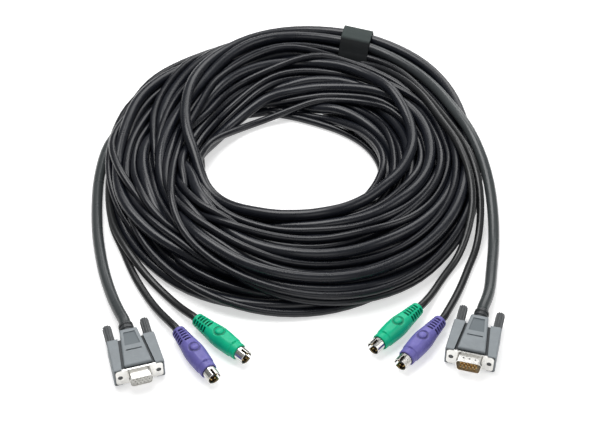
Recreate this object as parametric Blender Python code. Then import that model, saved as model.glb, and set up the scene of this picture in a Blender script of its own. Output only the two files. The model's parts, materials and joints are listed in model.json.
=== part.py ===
"""Keyboard, video and mouse cable: three round cords wound together in one flat coil, with plugs at both ends.

Metres, +Z up, the floor at z = 0. The plugs lie in front of the coil, towards -Y. Each plug is modelled in a
frame of its own, with its front at y = 0 and its cord leaving towards +Y, and its pieces hang on an empty.
"""
import math

import bmesh
import bpy
import numpy as np
from mathutils import Vector

MM = 0.001
CLEAR = 0.3 * MM            # gap between two pieces that meet

# Cords
VIDEO_CORD = 8.0 * MM       # diameter of the video cord
DATA_CORD = 5.4 * MM        # diameter of the keyboard and mouse cords
CORD_STEP = 2.2             # diameters between two points of a tube
CORD_ROUNDNESS = 2          # bevel resolution of a tube

# Coil: an oval ring round the hub, deepest at the back
COIL_HALF_WIDTH = 138.0 * MM
COIL_DEPTH_FRONT = 149.0 * MM
COIL_DEPTH_BACK = 158.0 * MM
HOLE_HALF_WIDTH = 65.0 * MM
HOLE_HALF_DEPTH = 59.0 * MM
HOLE_OFFSET = (-2.0 * MM, -5.0 * MM)
COIL_HEIGHT_FRONT = 26.0 * MM
COIL_HEIGHT_SIDE = 30.0 * MM
COIL_HEIGHT_BACK = 28.0 * MM
COIL_STEPS = 64
# Section of the coil, as shares of its width (from the hole outwards) and of its height: the back has a ledge
# along its outside, where the band and its cords lie
COIL_SECTION_FRONT = ((0.03, 0.0), (0.0, 0.12), (0.0, 0.5), (0.05, 0.78), (0.14, 0.94), (0.3, 1.0), (0.5, 1.0),
                      (0.7, 0.98), (0.85, 0.88), (0.95, 0.65), (1.0, 0.38), (1.0, 0.1), (0.97, 0.0))
COIL_SECTION_BACK = ((0.03, 0.0), (0.0, 0.1), (0.02, 0.35), (0.12, 0.55), (0.32, 0.85), (0.42, 1.0), (0.57, 1.0),
                     (0.655, 0.12), (0.77, 0.12), (0.9, 0.41), (0.99, 0.48), (1.0, 0.1), (0.97, 0.0))

# The middle of the plugs' and the band's footprint lies at the origin, and the coil's hub lies behind it
HUB = Vector((-7.0 * MM, 28.5 * MM, 0.0))

# Band round four cords at the back of the coil
BAND_ANGLE = 69.8           # degrees from +X, seen from the hub
BAND_LENGTH = 24.0 * MM
BAND_WALL = 1.5 * MM
BAND_CLEAR = 0.6 * MM       # round the cords, which bend inside the band
BAND_STATIONS = 4
BAND_POINTS = 32
# How far inside the coil's outer edge, and how high above the floor, each cord lies in the band
BAND_SEATS = {
    "video_turn": (4.9 * MM, 22.3 * MM),
    "video": (14.0 * MM, 21.3 * MM),
    "keyboard": (21.2 * MM, 16.2 * MM),
    "mouse": (25.5 * MM, 11.8 * MM),
}

# Video connector
HOOD_WIDTH = 33.4 * MM
HOOD_REAR_WIDTH = 31.6 * MM
WING_LENGTH = 27.0 * MM
WING_HEIGHT = 14.5 * MM
PANEL_LENGTH = 33.0 * MM    # from the flange's face to the end of the panel at the cord
PANEL_HEIGHT = 16.5 * MM
PANEL_FRONT = 2.0 * MM      # the panel starts this far behind the flange's face
PANEL_FRONT_WIDTH = 18.2 * MM
PANEL_REAR_WIDTH = 11.6 * MM
CHANNEL_WIDTH = 1.8 * MM
CHANNEL_DEPTH = 2.2 * MM    # below the wing's face
HOOD_BEVEL = 0.9 * MM
WINDOW_FRONT_WIDTH = 10.2 * MM
WINDOW_REAR_WIDTH = 7.6 * MM
WINDOW_SPAN = (18.8 * MM, 30.0 * MM)
WINDOW_DEPTH = 0.5 * MM
SLOT_SPAN = (14.2 * MM, 15.2 * MM)
SLOT_WIDTH = 10.4 * MM
SLOT_DEPTH = 0.9 * MM
VIDEO_AXIS = PANEL_HEIGHT / 2
FLANGE_WIDTH = 30.8 * MM
FLANGE_HEIGHT = 12.5 * MM
FLANGE_THICK = 1.0 * MM
FLANGE_CORNER = 2.0 * MM
SCREW_SPACING = 24.99 * MM
SCREW_HOLE = 1.65 * MM      # radius in the flange
SHELL_LENGTH = 6.0 * MM
SHELL_WALL = 0.5 * MM
FEMALE_SHELL = (16.3 * MM, 7.9 * MM)
MALE_SHELL = (17.9 * MM, 9.3 * MM)
SHELL_CORNER = 2.4 * MM
SHELL_SLANT = 10.0          # degrees of the D's sides
INSULATOR_DEPTH = 6.0 * MM  # behind the flange's face
CONTACT_PITCH = 2.29 * MM
CONTACT_ROW = 1.98 * MM
CONTACTS_PER_ROW = 5
SOCKET_RADIUS = 0.55 * MM
SOCKET_DEPTH = 5.0 * MM
PIN_RADIUS = 0.4 * MM
PIN_REACH = 4.8 * MM        # from the male insulator's face
KNOB_RADIUS = 3.0 * MM
KNOB_LENGTH = 17.0 * MM
KNOB_FLUTES = 10
KNOB_GROOVE = 0.55 * MM
KNOB_SLOT_WIDTH = 1.0 * MM
KNOB_SLOT_DEPTH = 1.4 * MM
SHANK_RADIUS = 1.3 * MM
COLLAR_RADIUS = 5.2 * MM
COLLAR_LENGTH = 10.6 * MM

# Round plug
BODY_LENGTH = 43.0 * MM
BODY_RADIUS = 7.0 * MM
# Outside of the body as (distance behind the front, share of the body's radius)
BODY_OUTLINE = ((0.0, 0.74), (0.6, 0.8), (4.6, 0.82), (5.2, 0.89), (11.0, 0.99), (16.0, 1.0), (21.0, 0.98),
                (26.0, 0.92), (30.0, 0.85))
RELIEF_START = 31.0 * MM
RELIEF_PITCH = 2.7 * MM
RELIEF_RINGS = 4
RELIEF_GROOVE = 1.0 * MM
RELIEF_DEPTH = 0.9 * MM
BODY_REAR_RADIUS = 4.4 * MM
BUTTON_PLACE = 21.5 * MM
BUTTON_RADIUS = 3.3 * MM
BUTTON_HEIGHT = 0.5 * MM
BUTTON_RING = 4.5 * MM
BUTTON_GROOVE = 0.6 * MM
SHIELD_RADIUS = 4.65 * MM
SHIELD_WALL = 0.5 * MM
SHIELD_LENGTH = 6.8 * MM    # in front of the body
SHIELD_SEAT = 1.7 * MM      # inside the body
SHIELD_SLOT_WIDTH = 1.8 * MM
SHIELD_SLOT_LENGTH = 4.6 * MM
SHIELD_SLOT_ANGLES = (90.0, 210.0, 330.0)
BASE_FRONT = 0.8 * MM       # the insulator's face, in front of the body
ROUND_PIN_RADIUS = 0.5 * MM
ROUND_PIN_REACH = 5.4 * MM  # in front of the body
ROUND_PINS = ((1.2, -2.3), (2.7, 0.0), (2.0, 2.0))   # across and up in mm, each with its mirror image
KEY_WIDTH = 1.8 * MM
KEY_HEIGHT = 1.5 * MM
KEY_RISE = 2.0 * MM

ROUND_SEGMENTS = 20

COLOURS = {
    "cord_black": ((0.030, 0.032, 0.035), 0.42, 0.0),
    "cord_grey": ((0.075, 0.080, 0.080), 0.42, 0.0),
    "band_black": ((0.022, 0.026, 0.028), 0.62, 0.0),
    "hood_grey": ((0.27, 0.30, 0.32), 0.5, 0.0),
    "screw_grey": ((0.085, 0.090, 0.095), 0.45, 0.0),
    "collar_black": ((0.030, 0.034, 0.038), 0.45, 0.0),
    "nickel": ((0.72, 0.71, 0.68), 0.28, 1.0),
    "contact_gold": ((0.72, 0.50, 0.20), 0.3, 1.0),
    "insulator_black": ((0.02, 0.02, 0.022), 0.5, 0.0),
    "insulator_white": ((0.55, 0.52, 0.46), 0.5, 0.0),
    "plug_purple": ((0.150, 0.115, 0.42), 0.42, 0.0),
    "plug_green": ((0.0, 0.40, 0.21), 0.42, 0.0),
}

# Where each plug lies: the middle of its front on the floor, measured from the hub in mm, and its turn in degrees
VIDEO_PLUGS = {
    "video_female": ((-98.5, -199.9), 17.0),
    "video_male": ((113.5, -188.7), -15.5),
}
ROUND_PLUGS = {
    "keyboard_left": ((-54.3, -196.9), 32.5, "plug_purple"),
    "mouse_left": ((-35.5, -180.8), 45.0, "plug_green"),
    "mouse_right": ((56.0, -172.5), -41.5, "plug_green"),
    "keyboard_right": ((72.6, -185.9), -37.0, "plug_purple"),
}

# Routes of the free stretches, in mm from the hub, from the coil to the plug that ends them
ROUTES = {
    "video_lead_left": ((-137.5, 42.0, 4.4), (-142.0, 20.0, 4.4), (-143.8, -2.0, 4.4), (-143.9, -20.0, 4.4),
                        (-142.6, -39.0, 4.4), (-140.0, -62.4, 4.4), (-135.7, -85.4, 4.4), (-130.3, -107.7, 4.4),
                        (-123.6, -125.4, 4.6), (-117.9, -139.6, 6.2)),
    "keyboard_lead_left": ((-131.4, -55.8, 3.0), (-124.6, -71.8, 3.0), (-118.6, -85.6, 3.0),
                           (-113.8, -99.0, 3.0), (-108.8, -110.6, 3.0), (-100.7, -124.5, 3.0),
                           (-92.6, -138.0, 3.6)),
    "mouse_lead_left": ((-131.4, -55.8, 9.0), (-124.6, -71.8, 9.0), (-118.2, -84.5, 9.0), (-111.2, -96.4, 8.6),
                        (-103.0, -106.6, 5.4), (-94.2, -115.6, 3.2), (-85.7, -124.5, 3.0),
                        (-74.6, -138.6, 4.0)),
    "video_turn": ((-21.4, 142.9, 21.9), (-5.2, 147.9, 21.3), (13.1, 149.3, 21.3)),
    "video_turn_after": ((87.2, 120.0, 21.6), (97.3, 109.9, 21.9), (105.7, 98.6, 22.1)),
    "video_lead_right": ((-18.8, 134.0, 24.3), (-2.4, 138.8, 23.1), (14.7, 139.8, 22.0)),
    "video_lead_right_after": ((78.9, 112.7, 21.7), (93.3, 96.6, 22.7), (105.6, 76.7, 24.5),
                               (114.4, 57.0, 26.1), (121.7, 38.4, 27.4), (128.8, 20.4, 27.7),
                               (134.3, 3.5, 24.5), (138.7, -13.4, 20.2), (141.3, -30.0, 14.8),
                               (142.3, -44.9, 10.5), (142.4, -57.5, 6.0), (141.1, -69.2, 4.4),
                               (139.3, -84.2, 4.4), (136.0, -103.7, 4.4), (132.6, -121.0, 4.8),
                               (129.8, -130.8, 6.4)),
    "keyboard_lead_right": ((-15.7, 127.5, 21.4), (0.0, 131.9, 19.8), (15.1, 132.6, 18.1)),
    "keyboard_lead_right_after": ((75.0, 107.0, 19.2), (87.9, 91.0, 20.9), (98.8, 71.8, 21.2),
                                  (107.2, 53.4, 22.2), (114.5, 36.1, 23.4), (120.9, 19.2, 24.2),
                                  (126.1, 3.3, 25.2), (130.3, -12.6, 23.6), (132.7, -27.0, 20.5),
                                  (133.6, -40.9, 16.3), (133.1, -56.5, 10.5), (131.6, -68.2, 6.2),
                                  (127.4, -83.2, 3.2), (119.9, -98.6, 3.0), (114.8, -112.0, 3.0),
                                  (108.2, -126.5, 3.6)),
    "mouse_lead_right": ((-12.6, 122.1, 20.3), (1.1, 126.5, 19.1), (15.6, 127.2, 15.0)),
    "mouse_lead_right_after": ((71.5, 102.1, 16.8), (83.6, 86.6, 22.0), (94.4, 68.6, 24.7), (102.0, 50.9, 26.4),
                               (108.7, 34.3, 26.2), (115.0, 18.2, 27.0), (120.2, 3.1, 27.4),
                               (123.9, -11.9, 26.0), (126.4, -25.7, 24.7), (127.2, -38.9, 21.9),
                               (126.8, -53.8, 18.9), (124.0, -68.8, 15.5), (119.0, -86.0, 4.6),
                               (112.4, -93.8, 3.1), (101.0, -111.5, 3.0), (92.0, -125.0, 3.4)),
}


def clear_scene():
    for thing in list(bpy.data.objects):
        bpy.data.objects.remove(thing, do_unlink=True)


def material(name):
    """The named finish, made once and shared."""
    found = bpy.data.materials.get(name)
    if found:
        return found
    colour, roughness, metallic = COLOURS[name]
    made = bpy.data.materials.new(name)
    made.use_nodes = True
    shader = made.node_tree.nodes["Principled BSDF"]
    shader.inputs["Base Color"].default_value = (*colour, 1.0)
    shader.inputs["Roughness"].default_value = roughness
    shader.inputs["Metallic"].default_value = metallic
    return made


def mesh_object(name, shape, finish=None, parent=None, smooth=True):
    """An object from a bmesh, with its faces pointing out."""
    bmesh.ops.recalc_face_normals(shape, faces=shape.faces)
    mesh = bpy.data.meshes.new(name)
    shape.to_mesh(mesh)
    shape.free()
    if smooth:
        mesh.shade_smooth()
        mesh.set_sharp_from_angle(angle=math.radians(35))
    thing = bpy.data.objects.new(name, mesh)
    bpy.context.collection.objects.link(thing)
    if finish:
        mesh.materials.append(material(finish))
    thing.parent = parent
    return thing


def helper(name, shape, parent):
    """A shape that only cuts or joins another: it is no piece itself."""
    thing = mesh_object(name, shape, parent=parent)
    thing.hide_render = True
    thing.display_type = 'WIRE'
    return thing


def combine(thing, other, operation):
    step = thing.modifiers.new(other.name, 'BOOLEAN')
    step.operation = operation
    step.solver = 'EXACT'
    step.object = other


def bevel(thing, width, segments=2):
    step = thing.modifiers.new("edges", 'BEVEL')
    step.width = width
    step.segments = segments
    step.limit_method = 'ANGLE'
    step.angle_limit = math.radians(40)


def rounded(corners, radius, steps=4):
    """A closed outline with each corner of the polygon rounded."""
    outline = []
    count = len(corners)
    for i, corner in enumerate(corners):
        here = Vector(corner)
        before = (Vector(corners[i - 1]) - here).normalized()
        after = (Vector(corners[(i + 1) % count]) - here).normalized()
        half = math.acos(max(-1.0, min(1.0, before.dot(after)))) / 2
        middle = here + (before + after).normalized() * radius / math.sin(half)
        start = here + before * radius / math.tan(half) - middle
        end = here + after * radius / math.tan(half) - middle
        for k in range(steps + 1):
            share = k / steps
            turn = start.angle_signed(end) * share
            cos, sin = math.cos(-turn), math.sin(-turn)
            outline.append((middle.x + start.x * cos - start.y * sin, middle.y + start.x * sin + start.y * cos))
    return outline


def add_prism(shape, outline, low, high, axis='Z'):
    """Extrudes an outline: across X and Y along Z, or across X and Z along Y."""
    def place(a, b, level):
        return (a, b, level) if axis == 'Z' else (a, level, b)
    bottom = [shape.verts.new(place(a, b, low)) for a, b in outline]
    top = [shape.verts.new(place(a, b, high)) for a, b in outline]
    count = len(outline)
    shape.faces.new(bottom[::-1])
    shape.faces.new(top)
    for i in range(count):
        k = (i + 1) % count
        shape.faces.new((bottom[i], bottom[k], top[k], top[i]))


def prism(outline, low, high, axis='Z'):
    shape = bmesh.new()
    add_prism(shape, outline, low, high, axis)
    return shape


def circle(x, z, radius, segments=ROUND_SEGMENTS, start=0.0):
    step = 2 * math.pi / segments
    return [(x + radius * math.cos(start + k * step), z + radius * math.sin(start + k * step))
            for k in range(segments)]


def turned(profile, height, segments=ROUND_SEGMENTS):
    """A body turned about an axis along Y: the profile is (y, radius) from axis to axis."""
    shape = bmesh.new()
    rings = []
    for y, radius in profile:
        if radius <= 0:
            rings.append([shape.verts.new((0.0, y, height))])
        else:
            rings.append([shape.verts.new((x, y, z)) for x, z in circle(0.0, height, radius, segments)])
    for one, two in zip(rings, rings[1:]):
        for k in range(segments):
            n = (k + 1) % segments
            corners = [one[k % len(one)], one[n % len(one)], two[n % len(two)], two[k % len(two)]]
            shape.faces.new(list(dict.fromkeys(corners)))
    return shape


def box(low, high):
    outline = ((low[0], low[1]), (high[0], low[1]), (high[0], high[1]), (low[0], high[1]))
    return prism(outline, low[2], high[2])


def trapezoid(front, rear, start, end):
    """An outline across X and Y, with its two widths."""
    return ((-front / 2, start), (front / 2, start), (rear / 2, end), (-rear / 2, end))


def anchor(name, place, turn):
    """The empty that carries a plug: its front on the floor, and its turn."""
    empty = bpy.data.objects.new(name, None)
    empty.location = HUB + Vector((place[0] * MM, place[1] * MM, 0.0))
    empty.rotation_euler = (0.0, 0.0, math.radians(turn))
    bpy.context.collection.objects.link(empty)
    return empty


def behind(place, turn, distance, height):
    """A point on a plug's axis, measured from the hub in mm."""
    angle = math.radians(turn)
    return (place[0] - math.sin(angle) * distance / MM, place[1] + math.cos(angle) * distance / MM, height / MM)


def shell_outline(size, inset=0.0):
    """The D of a video connector, wide side up, drawn in by inset."""
    width, height = size[0] - 2 * inset, size[1] - 2 * inset
    lean = height * math.tan(math.radians(SHELL_SLANT))
    top, bottom = VIDEO_AXIS + height / 2, VIDEO_AXIS - height / 2
    corners = ((-width / 2 + lean, bottom), (width / 2 - lean, bottom), (width / 2, top), (-width / 2, top))
    return rounded(corners, max(SHELL_CORNER - inset, 0.4 * MM))


def contact_places():
    """Middles of the fifteen contacts, in three rows, the middle row set over by half a pitch."""
    places = []
    for row in range(3):
        shift = (0.25 if row == 1 else -0.25) * CONTACT_PITCH
        for k in range(CONTACTS_PER_ROW):
            across = (k - (CONTACTS_PER_ROW - 1) / 2) * CONTACT_PITCH + shift
            places.append((across, VIDEO_AXIS + (row - 1) * CONTACT_ROW))
    return places


def screw_places():
    return (-SCREW_SPACING / 2, SCREW_SPACING / 2)


def build_hood(name, size, parent):
    """Moulded hood: two wings, a raised panel between two channels, and pockets for what it holds."""
    middle = PANEL_HEIGHT / 2
    low, high = middle - WING_HEIGHT / 2, middle + WING_HEIGHT / 2
    wings = prism(trapezoid(HOOD_WIDTH, HOOD_REAR_WIDTH, 0.0, WING_LENGTH), low, high)
    hood = mesh_object(name + "_hood", wings, "hood_grey", parent)
    bevel(hood, HOOD_BEVEL)

    grow = 2 * CHANNEL_WIDTH
    slope = (PANEL_FRONT_WIDTH - PANEL_REAR_WIDTH) / (PANEL_LENGTH - PANEL_FRONT)
    ahead = 1.0 * MM
    outline = trapezoid(PANEL_FRONT_WIDTH + grow + (PANEL_FRONT + ahead) * slope, PANEL_REAR_WIDTH + grow,
                        -ahead, PANEL_LENGTH)
    channels = prism(outline, high - CHANNEL_DEPTH, high + CHANNEL_DEPTH)
    add_prism(channels, outline, low - CHANNEL_DEPTH, low + CHANNEL_DEPTH)
    combine(hood, helper(name + "_channels", channels, parent), 'DIFFERENCE')

    panel = prism(trapezoid(PANEL_FRONT_WIDTH, PANEL_REAR_WIDTH, PANEL_FRONT, PANEL_LENGTH), 0.0, PANEL_HEIGHT)
    panel = helper(name + "_panel", panel, parent)
    bevel(panel, HOOD_BEVEL)
    combine(hood, panel, 'UNION')

    window = prism(trapezoid(WINDOW_FRONT_WIDTH, WINDOW_REAR_WIDTH, *WINDOW_SPAN),
                   PANEL_HEIGHT - WINDOW_DEPTH, PANEL_HEIGHT + WINDOW_DEPTH)
    add_prism(window, trapezoid(SLOT_WIDTH, SLOT_WIDTH, *SLOT_SPAN),
              PANEL_HEIGHT - SLOT_DEPTH, PANEL_HEIGHT + SLOT_DEPTH)
    combine(hood, helper(name + "_window", window, parent), 'DIFFERENCE')

    bores = bmesh.new()
    for x in screw_places():
        add_prism(bores, circle(x, VIDEO_AXIS, SHANK_RADIUS + CLEAR, 16), -1.0 * MM, WING_LENGTH + 1.0 * MM, 'Y')
    combine(hood, helper(name + "_bores", bores, parent), 'DIFFERENCE')

    half_width, half_height = FLANGE_WIDTH / 2 + CLEAR, FLANGE_HEIGHT / 2 + CLEAR
    seat = box((-half_width, -1.0 * MM, VIDEO_AXIS - half_height),
               (half_width, FLANGE_THICK + CLEAR, VIDEO_AXIS + half_height))
    combine(hood, helper(name + "_flange_seat", seat, parent), 'DIFFERENCE')

    inner = shell_outline(size, SHELL_WALL)
    pocket = prism(inner, FLANGE_THICK, INSULATOR_DEPTH + CLEAR, 'Y')
    combine(hood, helper(name + "_pocket", pocket, parent), 'DIFFERENCE')


def build_flange(name, size, parent):
    """Stamped metal face with the D-shaped shell drawn out of it, open right through."""
    half_width, half_height = FLANGE_WIDTH / 2, FLANGE_HEIGHT / 2
    corners = ((-half_width, VIDEO_AXIS - half_height), (half_width, VIDEO_AXIS - half_height),
               (half_width, VIDEO_AXIS + half_height), (-half_width, VIDEO_AXIS + half_height))
    flange = mesh_object(name + "_shell", prism(rounded(corners, FLANGE_CORNER, 3), 0.0, FLANGE_THICK, 'Y'),
                         "nickel", parent)
    drawn = helper(name + "_drawn", prism(shell_outline(size), -SHELL_LENGTH, FLANGE_THICK / 2, 'Y'), parent)
    combine(flange, drawn, 'UNION')
    opening = prism(shell_outline(size, SHELL_WALL), -2 * SHELL_LENGTH, 2 * SHELL_LENGTH, 'Y')
    for x in screw_places():
        add_prism(opening, circle(x, VIDEO_AXIS, SCREW_HOLE, 16), -1.0 * MM, 2.0 * MM, 'Y')
    combine(flange, helper(name + "_opening", opening, parent), 'DIFFERENCE')


def build_video_insulator(name, size, female, parent):
    """Moulded block inside the shell, with fifteen sockets or fifteen pins."""
    front = -SHELL_LENGTH + 0.3 * MM if female else -0.4 * MM
    outline = shell_outline(size, SHELL_WALL + CLEAR)
    block = mesh_object(name + "_insulator", prism(outline, front, INSULATOR_DEPTH, 'Y'),
                        "insulator_black" if female else "insulator_white", parent)
    contacts = bmesh.new()
    for x, z in contact_places():
        if female:
            add_prism(contacts, circle(x, z, SOCKET_RADIUS, 8), front - 1.0 * MM, front + SOCKET_DEPTH, 'Y')
        else:
            add_prism(contacts, circle(x, z, PIN_RADIUS, 8), front - PIN_REACH, front + 1.0 * MM, 'Y')
    contacts = helper(name + "_contacts", contacts, parent)
    combine(block, contacts, 'DIFFERENCE' if female else 'UNION')


def build_thumbscrews(name, parent):
    """Long fluted knobs behind the wings, with a plain shank through the hood to the flange."""
    fluted = []
    steps = KNOB_FLUTES * 4
    for k in range(steps):
        depth = KNOB_GROOVE if k % 4 in (2, 3) else 0.0
        angle = 2 * math.pi * k / steps
        fluted.append(((KNOB_RADIUS - depth) * math.cos(angle), (KNOB_RADIUS - depth) * math.sin(angle)))
    for side, x in zip(("left", "right"), screw_places()):
        screw = mesh_object(f"{name}_thumbscrew_{side}", prism(fluted, 0.0, KNOB_LENGTH, 'Y'), "screw_grey", parent)
        screw.location = (x, WING_LENGTH + CLEAR, VIDEO_AXIS)
        shank = helper(f"{name}_shank_{side}",
                       prism(circle(0.0, 0.0, SHANK_RADIUS, 12), -(WING_LENGTH + CLEAR - 0.3 * MM), 1.0 * MM, 'Y'),
                       parent)
        shank.location = screw.location
        combine(screw, shank, 'UNION')
        slot = helper(f"{name}_slot_{side}",
                      box((-KNOB_RADIUS * 2, KNOB_LENGTH - KNOB_SLOT_DEPTH, -KNOB_SLOT_WIDTH / 2),
                          (KNOB_RADIUS * 2, KNOB_LENGTH + 1.0 * MM, KNOB_SLOT_WIDTH / 2)), parent)
        slot.location = screw.location
        combine(screw, slot, 'DIFFERENCE')


def build_collar(name, parent):
    """Double ring at the cord, behind the panel."""
    start = PANEL_LENGTH + CLEAR
    groove = COLLAR_RADIUS * 0.86
    neck = VIDEO_CORD / 2 + 0.3 * MM
    shares = ((0.0, 0.0), (0.0, groove), (0.36, groove), (0.42, COLLAR_RADIUS), (0.57, COLLAR_RADIUS),
              (0.62, groove), (0.7, groove), (0.75, COLLAR_RADIUS * 0.97), (0.92, COLLAR_RADIUS * 0.95),
              (1.0, neck), (1.0, 0.0))
    profile = [(start + share * COLLAR_LENGTH, radius) for share, radius in shares]
    mesh_object(name + "_collar", turned(profile, VIDEO_AXIS, 20), "collar_black", parent)


def build_video_plug(name, place, turn):
    female = name.endswith("_female")
    size = FEMALE_SHELL if female else MALE_SHELL
    parent = anchor(name + "_place", place, turn)
    build_hood(name, size, parent)
    build_flange(name, size, parent)
    build_video_insulator(name, size, female, parent)
    build_thumbscrews(name, parent)
    build_collar(name, parent)


def body_profile():
    """The round plug's body, from the floor of its front socket round the outside to the cord's end."""
    socket_floor = SHIELD_SEAT + CLEAR
    socket_radius = SHIELD_RADIUS + CLEAR
    profile = [(socket_floor, 0.0), (socket_floor, socket_radius), (0.0, socket_radius)]
    profile += [(y * MM, share * BODY_RADIUS) for y, share in BODY_OUTLINE]
    start_radius = profile[-1][1]
    taper = (start_radius - BODY_REAR_RADIUS) / (BODY_LENGTH - profile[-1][0])

    def radius_at(y):
        return start_radius - taper * (y - BODY_OUTLINE[-1][0] * MM)
    for k in range(RELIEF_RINGS):
        y = RELIEF_START + k * RELIEF_PITCH
        end = y + RELIEF_GROOVE
        profile += [(y, radius_at(y)), (y, radius_at(y) - RELIEF_DEPTH),
                    (end, radius_at(end) - RELIEF_DEPTH), (end, radius_at(end))]
    profile += [(BODY_LENGTH - 0.5 * MM, radius_at(BODY_LENGTH)), (BODY_LENGTH, BODY_REAR_RADIUS - 0.5 * MM),
                (BODY_LENGTH, 0.0)]
    return profile


def build_body(name, finish, parent):
    """Coloured moulding with strain relief rings and a button inside a ring on top."""
    body = mesh_object(name + "_body", turned(body_profile(), BODY_RADIUS), finish, parent)
    face = 2 * BODY_RADIUS - 0.15 * MM
    ring = prism([(x, y + BUTTON_PLACE) for x, y in circle(0.0, 0.0, BUTTON_RING)],
                 face - BUTTON_GROOVE, face + BODY_RADIUS)
    combine(body, helper(name + "_ring_cut", ring, parent), 'DIFFERENCE')
    button = bmesh.new()
    rings = []
    for radius, height in ((1.0, -1.2 * MM), (1.0, 0.0), (0.8, 0.6 * BUTTON_HEIGHT), (0.45, BUTTON_HEIGHT)):
        level = face - BUTTON_GROOVE / 2 + height
        rings.append([button.verts.new((x, y + BUTTON_PLACE, level))
                      for x, y in circle(0.0, 0.0, BUTTON_RADIUS * radius)])
    button.faces.new(rings[0][::-1])
    button.faces.new(rings[-1])
    for one, two in zip(rings, rings[1:]):
        for k in range(ROUND_SEGMENTS):
            n = (k + 1) % ROUND_SEGMENTS
            button.faces.new((one[k], one[n], two[n], two[k]))
    combine(body, helper(name + "_button", button, parent), 'UNION')


def build_shield(name, parent):
    """Thin metal ring round the pins, with three slots."""
    profile = [(-SHIELD_LENGTH, SHIELD_RADIUS - SHIELD_WALL), (-SHIELD_LENGTH, SHIELD_RADIUS),
               (SHIELD_SEAT, SHIELD_RADIUS), (SHIELD_SEAT, SHIELD_RADIUS - SHIELD_WALL)]
    shield = mesh_object(name + "_shield", turned(profile + profile[:1], BODY_RADIUS), "nickel", parent)
    bmesh_merge(shield)
    slots = bmesh.new()
    for angle in SHIELD_SLOT_ANGLES:
        add_slot(slots, math.radians(angle))
    combine(shield, helper(name + "_shield_slots", slots, parent), 'DIFFERENCE')


def bmesh_merge(thing):
    """Joins the first and last ring of a closed profile."""
    shape = bmesh.new()
    shape.from_mesh(thing.data)
    bmesh.ops.remove_doubles(shape, verts=shape.verts, dist=0.001 * MM)
    bmesh.ops.recalc_face_normals(shape, faces=shape.faces)
    shape.to_mesh(thing.data)
    shape.free()


def add_slot(shape, angle):
    """A cutter through the shield's wall at one angle, open to the front."""
    out = Vector((math.cos(angle), 0.0, math.sin(angle)))
    side = Vector((-math.sin(angle), 0.0, math.cos(angle))) * SHIELD_SLOT_WIDTH / 2
    centre = Vector((0.0, 0.0, BODY_RADIUS))
    low, high = SHIELD_RADIUS * 0.6, SHIELD_RADIUS * 1.4
    rows = []
    for y in (-SHIELD_LENGTH - 1.0 * MM, -SHIELD_LENGTH + SHIELD_SLOT_LENGTH):
        along = Vector((0.0, y, 0.0))
        rows.append([shape.verts.new(centre + along + out * r + side * s)
                     for r, s in ((low, -1), (high, -1), (high, 1), (low, 1))])
    front, rear = rows
    shape.faces.new(front)
    shape.faces.new(rear[::-1])
    for k in range(4):
        n = (k + 1) % 4
        shape.faces.new((front[k], rear[k], rear[n], front[n]))


def round_pin_places():
    return [(side * x * MM, z * MM) for x, z in ROUND_PINS for side in (-1, 1)]


def build_base(name, parent):
    """Insulator with a key and a bore for each pin."""
    radius = SHIELD_RADIUS - SHIELD_WALL - CLEAR
    base = mesh_object(name + "_insulator", prism(circle(0.0, BODY_RADIUS, radius), -BASE_FRONT, SHIELD_SEAT, 'Y'),
                       "insulator_black", parent)
    key = box((-KEY_WIDTH / 2, -ROUND_PIN_REACH, BODY_RADIUS + KEY_RISE - KEY_HEIGHT),
              (KEY_WIDTH / 2, 0.0, BODY_RADIUS + KEY_RISE))
    combine(base, helper(name + "_key", key, parent), 'UNION')
    bores = bmesh.new()
    for x, z in round_pin_places():
        add_prism(bores, circle(x, BODY_RADIUS + z, ROUND_PIN_RADIUS + CLEAR, 10), -3.0 * MM, 3.0 * MM, 'Y')
    combine(base, helper(name + "_bores", bores, parent), 'DIFFERENCE')


def build_pins(name, parent):
    for number, (x, z) in enumerate(round_pin_places(), start=1):
        tip = 0.3 * MM
        profile = ((-ROUND_PIN_REACH, 0.0), (-ROUND_PIN_REACH, ROUND_PIN_RADIUS - tip),
                   (-ROUND_PIN_REACH + tip, ROUND_PIN_RADIUS), (SHIELD_SEAT, ROUND_PIN_RADIUS), (SHIELD_SEAT, 0.0))
        pin = mesh_object(f"{name}_pin_{number}", turned(profile, 0.0, 8), "contact_gold", parent)
        pin.location = (x, 0.0, BODY_RADIUS + z)


def build_round_plug(name, place, turn, finish):
    parent = anchor(name + "_place", place, turn)
    build_body(name, finish, parent)
    build_shield(name, parent)
    build_base(name, parent)
    build_pins(name, parent)


def oval_radius(half_width, half_depth, centre, angle):
    """Distance from the hub to the edge of an oval, along an angle."""
    dx, dy = math.cos(angle), math.sin(angle)
    a = (dx / half_width) ** 2 + (dy / half_depth) ** 2
    b = -2 * (dx * centre[0] / half_width ** 2 + dy * centre[1] / half_depth ** 2)
    c = (centre[0] / half_width) ** 2 + (centre[1] / half_depth) ** 2 - 1
    return (-b + math.sqrt(b * b - 4 * a * c)) / (2 * a)


def coil_edge(angle):
    depth = COIL_DEPTH_BACK if math.sin(angle) > 0 else COIL_DEPTH_FRONT
    return oval_radius(COIL_HALF_WIDTH, depth, (0.0, 0.0), angle)


def coil_height(angle):
    end = COIL_HEIGHT_BACK if math.sin(angle) > 0 else COIL_HEIGHT_FRONT
    return COIL_HEIGHT_SIDE + (end - COIL_HEIGHT_SIDE) * math.sin(angle) ** 2


def band_seat(key):
    """Distance from the hub and height of a cord in the band."""
    inset, height = BAND_SEATS[key]
    return coil_edge(math.radians(BAND_ANGLE)) - inset, height


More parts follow.
